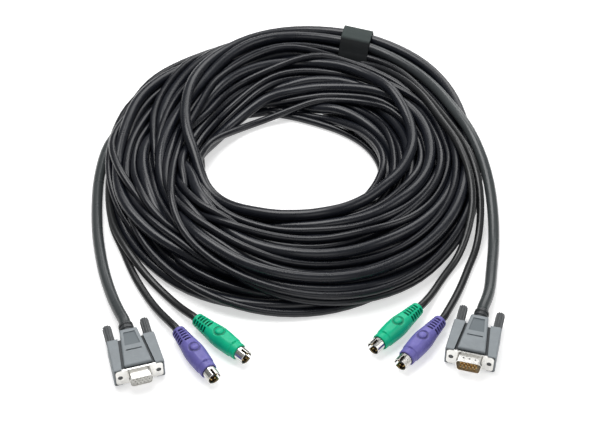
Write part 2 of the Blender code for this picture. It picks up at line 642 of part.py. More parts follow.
def build_coil():
    """The outer shape of the wound turns: a ring turned about the hub, its section changing from front to back."""
    shape = bmesh.new()
    rings = []
    for step in range(COIL_STEPS):
        angle = 2 * math.pi * step / COIL_STEPS
        back = (1 + math.sin(angle)) / 2
        inner = oval_radius(HOLE_HALF_WIDTH, HOLE_HALF_DEPTH, HOLE_OFFSET, angle)
        outer = coil_edge(angle)
        height = coil_height(angle)
        ring = []
        for front_point, back_point in zip(COIL_SECTION_FRONT, COIL_SECTION_BACK):
            across = front_point[0] + (back_point[0] - front_point[0]) * back
            up = front_point[1] + (back_point[1] - front_point[1]) * back
            radius = inner + (outer - inner) * across
            ring.append(shape.verts.new((radius * math.cos(angle), radius * math.sin(angle), height * up)))
        rings.append(ring)
    for k, ring in enumerate(rings):
        following = rings[(k + 1) % COIL_STEPS]
        for i in range(len(ring)):
            n = (i + 1) % len(ring)
            shape.faces.new((ring[i], ring[n], following[n], following[i]))
    coil = mesh_object("cord_coil", shape, "cord_black")
    coil.location = HUB


def seat_on_arc(key, angle):
    """Where a cord lies in the band, at an angle from +X, in mm from the hub."""
    radius, height = band_seat(key)
    turn = math.radians(angle)
    return (radius * math.cos(turn) / MM, radius * math.sin(turn) / MM, height / MM)


def through_band(key):
    """Three points of a cord on its arc inside the band, going clockwise seen from above."""
    return [seat_on_arc(key, BAND_ANGLE + swing) for swing in (7.0, 0.0, -7.0)]


def smooth_route(points, spacing):
    """Points at an even spacing along a smooth curve through the route's own points."""
    pts = [Vector(p) for p in points]
    pts = [pts[0] * 2 - pts[1]] + pts + [pts[-1] * 2 - pts[-2]]
    fine = []
    for p0, p1, p2, p3 in zip(pts, pts[1:], pts[2:], pts[3:]):
        t1 = (p1 - p0).length ** 0.5
        t2 = t1 + (p2 - p1).length ** 0.5
        t3 = t2 + (p3 - p2).length ** 0.5
        for k in range(12):
            t = t1 + (t2 - t1) * k / 12
            a1 = p0 * ((t1 - t) / t1) + p1 * (t / t1)
            a2 = p1 * ((t2 - t) / (t2 - t1)) + p2 * ((t - t1) / (t2 - t1))
            a3 = p2 * ((t3 - t) / (t3 - t2)) + p3 * ((t - t2) / (t3 - t2))
            b1 = a1 * ((t2 - t) / t2) + a2 * (t / t2)
            b2 = a2 * ((t3 - t) / (t3 - t1)) + a3 * ((t - t1) / (t3 - t1))
            fine.append(b1 * ((t2 - t) / (t2 - t1)) + b2 * ((t - t1) / (t2 - t1)))
    fine.append(pts[-2])
    steps = [0.0]
    for one, two in zip(fine, fine[1:]):
        steps.append(steps[-1] + (two - one).length)
    count = max(2, round(steps[-1] / spacing))
    wanted = np.linspace(0.0, steps[-1], count + 1)
    along = [np.interp(wanted, steps, [p[axis] for p in fine]) for axis in range(3)]
    return list(zip(*along))


def build_tube(name, points, diameter, finish):
    """A cord as a round tube along a smooth curve, its ends closed and its last stretch straight."""
    curve = bpy.data.curves.new(name, 'CURVE')
    curve.dimensions = '3D'
    curve.bevel_depth = diameter / 2
    curve.bevel_resolution = CORD_ROUNDNESS
    curve.use_fill_caps = True
    route = [HUB + Vector(p) * MM for p in points]
    places = smooth_route(route[:-1], CORD_STEP * diameter) + [tuple(route[-1])]
    spline = curve.splines.new('POLY')
    spline.points.add(len(places) - 1)
    for point, place in zip(spline.points, places):
        point.co = (*place, 1.0)
    tube = bpy.data.objects.new(name, curve)
    bpy.context.collection.objects.link(tube)
    curve.materials.append(material(finish))


def leads():
    """Name, route, diameter and finish of each free stretch, the route ending against its plug."""
    video_end = PANEL_LENGTH + CLEAR + COLLAR_LENGTH + CLEAR
    made = [("video_cord_turn", ROUTES["video_turn"] + tuple(through_band("video_turn"))
             + ROUTES["video_turn_after"], VIDEO_CORD, "cord_black")]
    for side, plug in (("left", "video_female"), ("right", "video_male")):
        place, turn = VIDEO_PLUGS[plug]
        end = (behind(place, turn, video_end + 7.0 * MM, VIDEO_AXIS),
               behind(place, turn, video_end, VIDEO_AXIS))
        made.append((f"video_cord_lead_{side}", route_of("video", side) + end, VIDEO_CORD, "cord_grey"))
    for cord in ("keyboard", "mouse"):
        for side in ("left", "right"):
            place, turn, _ = ROUND_PLUGS[f"{cord}_{side}"]
            end = (behind(place, turn, BODY_LENGTH + 5.0 * MM, BODY_RADIUS),
                   behind(place, turn, BODY_LENGTH + CLEAR, BODY_RADIUS))
            made.append((f"{cord}_cord_lead_{side}", route_of(cord, side) + end, DATA_CORD, "cord_black"))
    return made


def route_of(cord, side):
    route = ROUTES[f"{cord}_lead_{side}"]
    if side == "right":
        route += tuple(through_band(cord)) + ROUTES[f"{cord}_lead_right_after"]
    return route


def hull_round(circles, grow):
    """Outline of a strap pulled round some circles, given as (across, up, radius)."""
    outline = []
    for k in range(BAND_POINTS):
        angle = 2 * math.pi * k / BAND_POINTS
        nx, nz = math.cos(angle), math.sin(angle)
        across, up, radius = max(circles, key=lambda c: c[0] * nx + c[1] * nz + c[2])
        outline.append((across + (radius + grow) * nx, up + (radius + grow) * nz))
    return outline


def build_band():
    """Flat strap closed round the four cords, bent along with them."""
    circles = []
    for key in BAND_SEATS:
        thick = VIDEO_CORD if key.startswith("video") else DATA_CORD
        circles.append((*band_seat(key), thick / 2))
    inner = hull_round(circles, BAND_CLEAR)
    outer = hull_round(circles, BAND_CLEAR + BAND_WALL)
    middle = band_seat("video")[0]
    shape = bmesh.new()
    rings = []
    for k in range(BAND_STATIONS):
        along = BAND_LENGTH * (k / (BAND_STATIONS - 1) - 0.5)
        angle = math.radians(BAND_ANGLE) + along / middle
        rings.append([[shape.verts.new((r * math.cos(angle), r * math.sin(angle), z)) for r, z in outline]
                      for outline in (inner, outer)])
    for one, two in zip(rings, rings[1:]):
        for k in range(BAND_POINTS):
            n = (k + 1) % BAND_POINTS
            shape.faces.new((one[0][k], two[0][k], two[0][n], one[0][n]))
            shape.faces.new((one[1][k], one[1][n], two[1][n], two[1][k]))
    for ring in (rings[0], rings[-1]):
        for k in range(BAND_POINTS):
            n = (k + 1) % BAND_POINTS
            shape.faces.new((ring[0][k], ring[0][n], ring[1][n], ring[1][k]))
    band = mesh_object("band", shape, "band_black")
    band.location = HUB


def main():
    clear_scene()
    build_coil()
    build_band()
    for name, (place, turn) in VIDEO_PLUGS.items():
        build_video_plug(name, place, turn)
    for name, (place, turn, finish) in ROUND_PLUGS.items():
        build_round_plug(name, place, turn, finish)
    for name, points, diameter, finish in leads():
        build_tube(name, points, diameter, finish)


main()
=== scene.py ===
"""Keyboard, video and mouse cable: its wound coil, its band, and the finishes of its six plugs."""
import json
import math

import bmesh
import bpy
import numpy as np
from bpy.props import FloatProperty, FloatVectorProperty, IntProperty, PointerProperty
from mathutils import Matrix, Vector

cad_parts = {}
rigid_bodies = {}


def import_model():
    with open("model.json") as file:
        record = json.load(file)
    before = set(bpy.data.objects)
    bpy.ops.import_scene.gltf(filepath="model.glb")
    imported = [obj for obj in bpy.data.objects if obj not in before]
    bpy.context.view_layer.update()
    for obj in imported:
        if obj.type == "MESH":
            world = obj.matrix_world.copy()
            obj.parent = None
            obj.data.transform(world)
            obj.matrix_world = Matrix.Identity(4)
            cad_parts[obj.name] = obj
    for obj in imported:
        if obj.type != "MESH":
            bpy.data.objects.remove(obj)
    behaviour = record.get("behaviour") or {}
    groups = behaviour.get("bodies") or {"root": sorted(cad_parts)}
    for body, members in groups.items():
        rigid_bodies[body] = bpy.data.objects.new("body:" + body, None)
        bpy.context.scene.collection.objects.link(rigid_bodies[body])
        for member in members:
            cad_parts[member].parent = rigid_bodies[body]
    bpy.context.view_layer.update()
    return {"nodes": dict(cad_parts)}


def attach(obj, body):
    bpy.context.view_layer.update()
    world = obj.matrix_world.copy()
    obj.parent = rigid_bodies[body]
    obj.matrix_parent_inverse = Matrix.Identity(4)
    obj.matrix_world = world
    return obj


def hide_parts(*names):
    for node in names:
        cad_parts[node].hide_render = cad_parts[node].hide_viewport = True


bl_info = {
    "name": "Coiled keyboard, video and mouse cable",
    "version": (1, 0, 0),
    "blender": (4, 5, 0),
    "location": "3D View > Sidebar > Cable",
    "description": "Winds the coil, ties it with its band and finishes the plugs",
    "category": "Object",
}

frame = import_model()
NODES = frame["nodes"]

MM = 0.001
HUB = Vector((-7.0 * MM, 28.5 * MM, 0.0))   # the coil's hub on the floor

# Room that the wound turns fill, as in the CAD model, in mm from the hub
COIL_HALF_WIDTH = 138.0
COIL_DEPTH_FRONT = 149.0
COIL_DEPTH_BACK = 158.0
HOLE_HALF_WIDTH = 65.0
HOLE_HALF_DEPTH = 59.0
HOLE_OFFSET = (-2.0, -5.0)
# Height of the pile across the ring, from the hole's edge to the outside, as shares of both
PILE_FRONT = ((0.0, 0.5), (0.05, 0.78), (0.14, 0.94), (0.3, 1.0), (0.5, 1.0), (0.7, 0.98), (0.85, 0.88),
              (1.0, 0.38))
PILE_BACK = ((0.0, 0.35), (0.1, 0.5), (0.3, 0.55), (0.4, 1.0), (0.56, 1.0), (0.64, 0.6), (0.7, 0.55),
             (0.78, 0.9), (0.85, 1.4), (0.95, 1.6), (1.0, 1.6))

# Winding
CORDS = ("video", "keyboard", "mouse")
TURNS = 14
STATIONS = 96                  # upright planes round the hub, in which the strands are packed as discs
STATION_ANGLE = 360.0 / STATIONS
JOIN_STATION = 54              # where the left leads join the coil
LEAVE_STATION = {"video": -7, "keyboard": -8, "mouse": -10}
KNOT_STEP = 24                 # stations between two knots of a strand's wandering across the pile
TURN_RISE = 8.0                # mm by which each turn starts above the one before
THIN_RISE = 2.0                # mm by which the thin cords start above the thick one
THIN_ASIDE = (0.0, 0.07, -0.07)           # where the cords lie beside each other, as shares of the pile
GUIDE_PULL = 18.0              # how much more strongly than the others the top strands keep to their routes
SWING_OVER = 60.0              # degrees in which a strand swings over to its route
OVER_SPAN = (475.0, 575.0)     # degrees in which the video cord lies over the last turns at the left
OVER_RISE = 16.0
HELD_FROM = 203.0              # degrees between which the left leads are held on their routes
HELD_TO = {"video": 163.0, "keyboard": 202.0, "mouse": 202.0}
# The pile settles, then eases, then separates: steps of each phase, and what each step does in it
PACK_STEPS = (420, 160, 160)
SINK = (0.32, 0.10, 0.02)      # mm
SLIDE = (0.02, 0.012, 0.004)   # share of the way to the target
SMOOTH = (0.5, 0.5, 0.25)      # share of the way to the middle of the neighbours
SMOOTH_PASSES = (2, 2, 1)
PUSH_PASSES = (2, 3, 4)
NEAR_STEPS = 8                 # steps between two searches for near strands
NEAR_SPARE = 3.5               # mm between strands that are counted as near
TOUCH_SPARE = 1.004            # strands are pushed apart until they are this much further than they touch
EASE_STEPS = 8                 # how often the cords' bends are eased
EASE_LEAST = 0.3               # how far the strands in the pile are eased, as a share of the leads
EASE_POINTS = 6                # points in the pile over which the easing of the leads fades
LEAD_STEP = 4.0                # mm between two points of a lead

# Strands on top of the pile: angle and distance from the hub, in degrees and mm. Each 360 of the angle is one
# turn further from the cord's right end.
TOP_STRANDS = {
    "video": (
        (816.0, 106.6), (804.0, 106.0), (791.0, 104.0), (776.0, 99.5), (760.7, 96.0), (747.7, 92.5), (733.9, 89.6),
        (723.2, 87.4), (716.7, 84.4), (706.4, 81.9), (694.5, 77.8), (684.4, 75.0), (664.7, 73.3), (648.3, 72.4),
        (630.0, 69.0), (604.0, 68.0), (580.0, 68.0), (560.0, 69.0), (544.5, 72.6), (525.5, 83.0), (511.2, 92.7),
        (503.5, 99.1), (493.2, 109.7), (484.1, 119.8), (473.7, 131.9), (465.4, 140.0), (456.4, 147.0),
        (448.1, 150.6), (437.0, 150.6), (429.8, 150.3), (417.9, 149.8), (410.5, 148.0), (400.8, 144.0),
        (391.1, 138.7), (383.4, 134.0)),
    "video_end": ((180.0, 95.0), (165.0, 95.0), (150.0, 96.0), (137.6, 99.7), (130.2, 104.6), (116.5, 118.4),
                  (106.9, 129.0), (97.0, 137.5), (87.9, 141.0), (76.1, 141.4), (69.8, 141.2), (58.0, 139.0),
                  (45.0, 134.0), (34.6, 129.5), (27.1, 127.0), (20.4, 126.5), (12.0, 128.0), (1.9, 133.3),
                  (-5.0, 138.5), (-12.0, 144.0), (-18.0, 149.5), (-26.5, 157.2)),
    "keyboard": ((180.0, 90.0), (165.0, 89.0), (150.3, 90.2), (141.6, 93.7), (126.7, 103.1), (116.1, 113.0),
                 (107.7, 121.1), (97.3, 129.3), (87.8, 133.5), (75.0, 134.1), (69.8, 134.0), (62.0, 133.0),
                 (50.0, 127.5), (36.0, 121.5), (25.0, 119.0), (14.0, 119.5), (4.0, 124.0), (-4.0, 129.0),
                 (-10.0, 133.5), (-16.0, 138.5), (-22.0, 144.0), (-30.5, 150.5)),
    "mouse": ((180.0, 84.0), (165.0, 83.0), (150.0, 84.5), (141.0, 88.0), (127.0, 97.5), (116.0, 107.5),
              (107.5, 115.5), (97.0, 124.5), (88.0, 128.5), (75.0, 130.1), (69.8, 130.0), (62.0, 129.0),
              (50.0, 123.5), (36.0, 115.5), (25.0, 112.5), (14.0, 113.5), (4.0, 118.0), (-4.0, 122.5),
              (-10.0, 127.0), (-16.0, 131.5), (-22.0, 136.5), (-27.0, 140.0), (-38.0, 146.3)),
}
# First strands, also angle and distance: the cords run along the outer edge of the pile before they go under it
FIRST_STRANDS = {
    "video": ((165.0, 141.0), (158.0, 136.8), (150.0, 137.6), (140.0, 139.5), (126.0, 139.5), (110.0, 137.0),
              (95.0, 133.0)),
    "keyboard": ((202.0, 142.0), (195.0, 137.5), (185.0, 135.0), (170.0, 134.5), (155.0, 136.0),
                 (140.0, 138.0)),
    "mouse": ((202.0, 142.0), (195.0, 138.0), (185.0, 135.5), (170.0, 135.5), (155.0, 137.5), (140.0, 140.0)),
}

# Free ends, repeated from the CAD model: points in mm from the hub, from the coil to the plug
LEADS = {
    "video_left": ((-137.5, 42.0, 4.4), (-142.0, 20.0, 4.4), (-143.8, -2.0, 4.4), (-143.9, -20.0, 4.4),
                   (-142.6, -39.0, 4.4), (-140.0, -62.4, 4.4), (-135.7, -85.4, 4.4), (-130.3, -107.7, 4.4),
                   (-124.4, -125.4, 4.6), (-119.2, -139.6, 6.2)),
    "keyboard_left": ((-131.4, -55.8, 3.0), (-124.6, -71.8, 3.0), (-118.6, -85.6, 3.0), (-113.8, -99.0, 3.0),
                      (-108.8, -110.6, 3.0), (-101.4, -124.5, 3.0), (-93.6, -138.0, 3.6)),
    "mouse_left": ((-131.4, -55.8, 9.0), (-124.6, -71.8, 9.0), (-118.2, -84.5, 9.0), (-111.2, -96.4, 8.6),
                   (-103.6, -106.8, 5.4), (-95.8, -115.8, 3.2), (-88.0, -124.9, 3.0), (-77.2, -138.0, 3.8)),
    "video_right": ((142.4, -57.5, 6.0), (141.1, -69.2, 4.4), (139.3, -84.2, 4.4), (136.0, -103.7, 4.4),
                    (133.4, -121.0, 4.8), (130.9, -130.8, 6.4)),
    "keyboard_right": ((131.6, -68.2, 6.2), (127.4, -83.2, 3.2), (121.0, -98.4, 3.0), (116.4, -111.8, 3.0),
                       (110.0, -127.5, 3.6)),
    "mouse_right": ((119.0, -86.0, 4.6), (112.4, -93.8, 3.1), (101.0, -111.5, 3.0), (93.2, -126.6, 3.4)),
}
# Plug that ends each lead: place of its front on the floor in mm from the hub, turn in degrees, how far behind
# the front and how high above the floor the cord meets it
PLUGS = {
    "video_left": ("video_female", (-98.5, -199.9), 17.0, 44.2, 8.25),
    "video_right": ("video_male", (113.5, -188.7), -15.5, 44.2, 8.25),
    "keyboard_left": ("keyboard_left", (-54.3, -196.9), 32.5, 41.2, 7.0),
    "mouse_left": ("mouse_left", (-35.5, -180.8), 45.0, 41.2, 7.0),
    "mouse_right": ("mouse_right", (56.0, -172.5), -41.5, 41.2, 7.0),
    "keyboard_right": ("keyboard_right", (72.6, -185.9), -37.0, 41.2, 7.0),
}
END_STRAIGHT = 4.0             # mm of straight cord at each plug
LIT_TAIL_LENGTH = 0.34             # metres at each end of a cord where the jacket is painted paler, as painted light on the free ends
LIT_TAIL_FADE = 0.14

# Band, and the cords in it: distance from the hub and height, in mm
BAND_ANGLE = 69.8
BAND_SWING = 5.5               # degrees of the band's arc on each side of its middle
BAND_SEATS = {"video_turn": (150.3, 22.3), "video": (141.2, 21.3), "keyboard": (134.0, 16.2),
              "mouse": (130.0, 11.8)}
BAND_ROOM = 2.4                # mm round the cords for the band
BAND_HALF_LENGTH = 12.0        # mm along the cords
BAND_WALL = 1.5
BAND_CLEAR = 0.6
BAND_SKEW = 7.0                # degrees that the band lies askew on its cords
BAND_SHEEN_FROM = 26.2          # mm above the floor, from where the strap's top gets a painted sheen
BAND_SHEEN_FADE = 1.2
BAND_RIM = ((0.0, 0.5), (0.12, 0.22), (0.35, 0.05), (0.8, 0.0))    # how its edge is rounded, in mm
BAND_POINTS = 96
BAND_POINT_SPACING = 0.9       # mm of its map between two points

# Hood of a video plug, in mm: x across, y back from the flange's face, z up
PANEL_HALF_WIDTH = ((2.0, 9.1), (33.0, 5.8))
WINDOW_HALF_WIDTH = ((18.8, 5.1), (30.0, 3.8))
PANEL_TOP = 16.5
# Painted shade fills the hood's channels, from the panel's side out to the wing and up to CHANNEL_TOP
CHANNEL_REACH = 3.7            # from the panel's side to the wing
CHANNEL_TOP = 14.7
DIMPLE_PITCH = 3.8             # the male shell's pressed dimples, in mm from its middle and in front of its flange
DIMPLE_PLACE = 3.0
DIMPLE_RADIUS = 0.6
SHELL_TOP = 11.4
PIN_FRONT = -0.5               # the male contacts stand in front of this
# Body of a round plug, in mm
BODY_AXIS = 7.0
BODY_SOCKET = ((2.0, 0.0), (2.0, 4.95), (0.0, 4.95))
BODY_OUTSIDE = ((0.0, 5.3), (0.5, 5.7), (4.6, 5.8), (5.3, 6.35), (9.0, 6.6), (14.0, 6.93), (17.5, 7.0),
                (21.0, 6.85), (28.0, 5.9), (39.5, 4.7), (40.6, 4.5), (41.0, 4.0))
BODY_STEP = 0.25
BODY_SIDES = 144
FLAT_SPAN = (6.0, 10.0, 25.0, 29.0)       # the flat on top fades in and out over these
FLAT_DROP = 0.45
BUTTON_PLACE = 18.6
BUTTON_RING = (2.55, 3.1, 3.9, 4.5)       # the groove round the button: its inner and outer slopes
BUTTON_GROOVE = 0.75
BUTTON_RISE = 0.75
SLIT_FIRST = 27.6
SLIT_PITCH = 2.45
SLIT_HALF = 0.55
SLIT_DEPTH = 1.15
SLIT_COLUMNS = 6
SLIT_COUNT = 5
SLIT_REACH = 24.0              # degrees on each side of a column's middle
NOTCH_SPAN = (4.3, 5.1)
NOTCH_EDGE = 0.2
NOTCH_DEPTH = 0.6
NOTCH_REACH = 15.0
GROOVE_SHADE = 0.55            # how strong the painted shade in the groove round the button is, beside that in a slit

# Camera, floor and world
CAMERA_LENS = 88.8
CAMERA_SHIFT = (0.0025, -0.0608)
AIM = HUB + Vector((3.0 * MM, 0.0, 0.0))
FLOOR_REACH = 6.0
FLOOR_GLOW = 0.5
WORLD_STRENGTH = 0.22
LAMPS = (("Key", (-0.25, 0.35, 1.15), 0.8, "key"), ("Right", (1.0, -0.2, 0.7), 0.6, "fill"),
         ("Back", (0.45, 1.15, 0.75), 0.9, "back"), ("Front", (0.1, -1.2, 0.9), 0.8, "fill"))

# Metals and insulators
NICKEL = (0.80, 0.79, 0.76)
SHIELD_NICKEL = (0.66, 0.65, 0.62)
GOLD_PLATE = (0.72, 0.50, 0.20)
PIN_GOLD = (0.78, 0.52, 0.20)
DARK_INSULATOR = (0.02, 0.02, 0.022)
PALE_INSULATOR = (0.80, 0.79, 0.74)
CREAM_INSULATOR = (0.78, 0.70, 0.54)
DIMPLE_SHADE = (0.10, 0.10, 0.10)

# Pieces of the CAD model
VIDEO_PARTS = ("hood", "shell", "insulator", "thumbscrew_left", "thumbscrew_right", "collar")
ROUND_PARTS = ("shield", "insulator", *(f"pin_{number}" for number in range(1, 7)))
ROUND_PLUGS = ("keyboard_left", "mouse_left", "keyboard_right", "mouse_right")
RIGHT_PLUG_NODES = {
    "video": ["video_male_" + part for part in VIDEO_PARTS],
    "keyboard": ["keyboard_right_" + part for part in ROUND_PARTS],
    "mouse": ["mouse_right_" + part for part in ROUND_PARTS],
}
CORD_NODES = {
    "video": ("cord_coil", "video_cord_lead_left", "video_cord_lead_right", "video_cord_turn"),
    "keyboard": ("cord_coil", "keyboard_cord_lead_left", "keyboard_cord_lead_right"),
    "mouse": ("cord_coil", "mouse_cord_lead_left", "mouse_cord_lead_right"),
}


class CordSizes(bpy.types.PropertyGroup):
    """Sizes of the three cords."""
    video: FloatProperty(name="Video cord", description="Diameter of the video cord", default=8.0 * MM,
                         min=5 * MM, max=9 * MM, subtype="DISTANCE", unit="LENGTH")
    data: FloatProperty(name="Data cords", description="Diameter of the keyboard and mouse cords",
                        default=5.4 * MM, min=3 * MM, max=6 * MM, subtype="DISTANCE", unit="LENGTH")
    sides: IntProperty(name="Sides", description="Faces round a cord", default=14, min=8, max=24)
    seed: IntProperty(name="Winding", description="Another number winds the coil another way", default=3, min=0)


def colour_property(name, description, default):
    return FloatVectorProperty(name=name, description=description, default=default, size=3, min=0.0, max=1.0,
                               subtype="COLOR")


class CableColours(bpy.types.PropertyGroup):
    """Colours of the cable's finishes."""
    video_jacket: colour_property("Video cord", "Colour of the thick jacket", (0.0075, 0.0090, 0.0140))
    # painted light: each jacket is painted paler near its plugs, where the ends lie free on the floor, and keeps its
    # darker colour in the coil
    lit_tail_jacket: colour_property("Lit video tails", "Painted light on the thick jacket near its plugs", (0.050, 0.057, 0.059))
    lit_data_tail: colour_property("Lit data tails", "Painted light on the thin jackets near their plugs", (0.016, 0.017, 0.018))
    data_jacket: colour_property("Data cords", "Colour of the thin jackets", (0.0055, 0.0065, 0.0105))
    band: colour_property("Band", "Colour of the tie band", (0.0060, 0.0075, 0.0085))
    # painted sheen: the strap's flat top is painted paler than its steep face
    band_sheen: colour_property("Band sheen", "Painted sheen on the strap's top", (0.045, 0.058, 0.056))
    hood: colour_property("Hoods", "Colour of the video plugs' hoods", (0.235, 0.262, 0.280))
    window: colour_property("Windows", "Colour of the hoods' sunk windows", (0.125, 0.150, 0.165))
    # painted shade for the channels beside the hoods' raised panels
    channel: colour_property("Channel shade", "Painted shade in the hoods' channels", (0.030, 0.038, 0.045))
    screw: colour_property("Thumbscrews", "Colour of the thumbscrews", (0.080, 0.086, 0.090))
    collar: colour_property("Collars", "Colour of the rings at the hoods", (0.036, 0.040, 0.043))
    keyboard_plug: colour_property("Keyboard plugs", "Colour of the keyboard plugs", (0.165, 0.148, 0.46))
    mouse_plug: colour_property("Mouse plugs", "Colour of the mouse plugs", (0.0, 0.52, 0.27))


class StudioSettings(bpy.types.PropertyGroup):
    """Camera, floor and lights."""
    distance: FloatProperty(name="Distance", description="From the camera to the middle of the coil", default=1.1,
                            min=0.5, max=3.0, subtype="DISTANCE", unit="LENGTH")
    elevation: FloatProperty(name="Elevation", description="Angle of the camera above the floor",
                             default=math.radians(42.0), min=0.1, max=1.5, subtype="ANGLE")
    floor: colour_property("Floor", "Colour of the floor", (0.80, 0.80, 0.80))
    key: FloatProperty(name="Key light", description="Power of the large light overhead", default=11.5, min=0.0,
                       subtype="POWER", unit="POWER")
    back: FloatProperty(name="Back light", description="Power of the light behind the coil", default=7.0, min=0.0,
                        subtype="POWER", unit="POWER")
    fill: FloatProperty(name="Fill light", description="Power of the lights at the sides", default=2.5, min=0.0,
                        subtype="POWER", unit="POWER")


# The wound coil
def hub_distance(half_width, half_depth, centre, angle):
    """Distance from the hub to the edge of an oval, for an array of angles."""
    dx, dy = np.cos(angle), np.sin(angle)
    a = (dx / half_width) ** 2 + (dy / half_depth) ** 2
    b = -2 * (dx * centre[0] / half_width ** 2 + dy * centre[1] / half_depth ** 2)
    c = (centre[0] / half_width) ** 2 + (centre[1] / half_depth) ** 2 - 1
    return (-b + np.sqrt(b * b - 4 * a * c)) / (2 * a)


def ring_edges():
    """Distance from the hub to the hole's edge and to the outside, at each station."""
    angle = np.radians(np.arange(STATIONS) * STATION_ANGLE)
    inner = hub_distance(HOLE_HALF_WIDTH, HOLE_HALF_DEPTH, HOLE_OFFSET, angle)
    depth = np.where(np.sin(angle) > 0, COIL_DEPTH_BACK, COIL_DEPTH_FRONT)
    return inner, hub_distance(COIL_HALF_WIDTH, depth, (0.0, 0.0), angle)


def pile_shares(steps=41):
    """For each station, the place across the ring that a share of the pile's strands lies inside of."""
    across = np.linspace(0.0, 1.0, steps)
    front, back = (np.interp(across, *zip(*form)) for form in (PILE_FRONT, PILE_BACK))
    table = []
    for station in range(STATIONS):
        mix = (1 + math.sin(math.radians(station * STATION_ANGLE))) / 2
        height = front * (1 - mix) + back * mix
        area = np.concatenate([[0.0], np.cumsum((height[1:] + height[:-1]) / 2)])
        table.append(np.interp(across, area / area[-1], across))
    return across, np.array(table)


def wandering_shares(rng, turns, last_station):
    """Where each cord lies across the pile as it goes round, as a share, at every quarter turn.

    Early turns lie outside at the front left and inside at the back right, and late turns the other way round."""
    first = (JOIN_STATION + 6 + turns * STATIONS) // KNOT_STEP * KNOT_STEP
    knots = np.arange(first, last_station - 3 * KNOT_STEP, -KNOT_STEP)
    outer, inner, third, fourth = (rng.uniform(size=turns + 3) for _ in range(4))
    inner, third, fourth = (0.75 * outer + 0.25 * other for other in (inner, third, fourth))
    side = (-1) ** np.arange(turns + 3)
    raw = np.zeros((3, len(knots)))
    for i, knot in enumerate(knots):
        turn = (first - knot) // STATIONS
        progress = min(max((first - knot) / STATIONS / (turns + 0.64), 0.0), 1.0)
        late = progress + rng.uniform(-0.06, 0.06) > 0.5
        front_left = 0.5 * outer[turn] if late else 0.5 + 0.5 * outer[turn]
        back_right = 0.5 + 0.5 * inner[turn] if late else 0.5 * inner[turn]
        between = 0.65 * (front_left + back_right) / 2
        place = (front_left, between + 0.35 * third[turn], back_right, between + 0.35 * fourth[turn])[i % 4]
        for cord in range(3):
            raw[cord, i] = place + THIN_ASIDE[cord] * side[turn] + rng.uniform(-0.015, 0.015)
    shares = np.zeros_like(raw)
    for quarter in range(4):
        these = np.arange(quarter, len(knots), 4)
        order = np.argsort(np.argsort(raw[:, these].ravel(), kind="stable"), kind="stable")
        shares[:, these] = ((order + 0.5) / order.size).reshape(3, -1)
    return knots, shares


def between_knots(knots, values, stations):
    """Smooth values at stations, through the values at the knots."""
    x = (knots[0] - stations) / KNOT_STEP
    i = np.clip(np.floor(x).astype(int), 1, len(knots) - 3)
    t = x - i
    p0, p1, p2, p3 = (values[i + step] for step in (-1, 0, 1, 2))
    return p1 + 0.5 * t * (p2 - p0 + t * (2 * p0 - 5 * p1 + 4 * p2 - p3 + t * (3 * (p1 - p2) + p3 - p0)))


def smooth_route(points, spacing):
    """Points at an even spacing along a smooth curve through the route's own points."""
    pts = [Vector(p) for p in points]
    pts = [pts[0] * 2 - pts[1]] + pts + [pts[-1] * 2 - pts[-2]]
    fine = []
    for p0, p1, p2, p3 in zip(pts, pts[1:], pts[2:], pts[3:]):
        t1 = (p1 - p0).length ** 0.5
        t2 = t1 + (p2 - p1).length ** 0.5
        t3 = t2 + (p3 - p2).length ** 0.5
        for k in range(12):
            t = t1 + (t2 - t1) * k / 12
            a1 = p0 * ((t1 - t) / t1) + p1 * (t / t1)
            a2 = p1 * ((t2 - t) / (t2 - t1)) + p2 * ((t - t1) / (t2 - t1))
            a3 = p2 * ((t3 - t) / (t3 - t2)) + p3 * ((t - t2) / (t3 - t2))
            b1 = a1 * ((t2 - t) / t2) + a2 * (t / t2)
            b2 = a2 * ((t3 - t) / (t3 - t1)) + a3 * ((t - t1) / (t3 - t1))
            fine.append(b1 * ((t2 - t) / (t2 - t1)) + b2 * ((t - t1) / (t2 - t1)))
    fine.append(pts[-2])
    fine = np.array(fine)
    steps = np.concatenate([[0.0], np.cumsum(np.linalg.norm(np.diff(fine, axis=0), axis=1))])
    wanted = np.linspace(0.0, steps[-1], max(2, round(steps[-1] / spacing)) + 1)
    return np.stack([np.interp(wanted, steps, fine[:, axis]) for axis in range(3)], axis=1)


def plug_end(lead):
    """The last two points of a lead: straight into its plug."""
    _, place, turn, reach, height = PLUGS[lead]
    heading = math.radians(turn)
    along = Vector((-math.sin(heading), math.cos(heading)))
    ends = [Vector(place) + along * (reach + extra) for extra in (END_STRAIGHT, 0.0)]
    return [(*end, height) for end in ends]


def lead_route(lead):
    """A lead's points from the coil to its plug, in mm from the hub."""
    straight, end = plug_end(lead)
    return np.vstack([smooth_route((*LEADS[lead], straight), LEAD_STEP), end])


def as_polar(points):
    """Unwrapped angle in degrees, distance from the hub and height of some points."""
    angle = np.degrees(np.unwrap(np.arctan2(points[:, 1], points[:, 0])))
    if angle[0] < -90:
        angle += 360.0
    return angle, np.hypot(points[:, 0], points[:, 1]), points[:, 2]


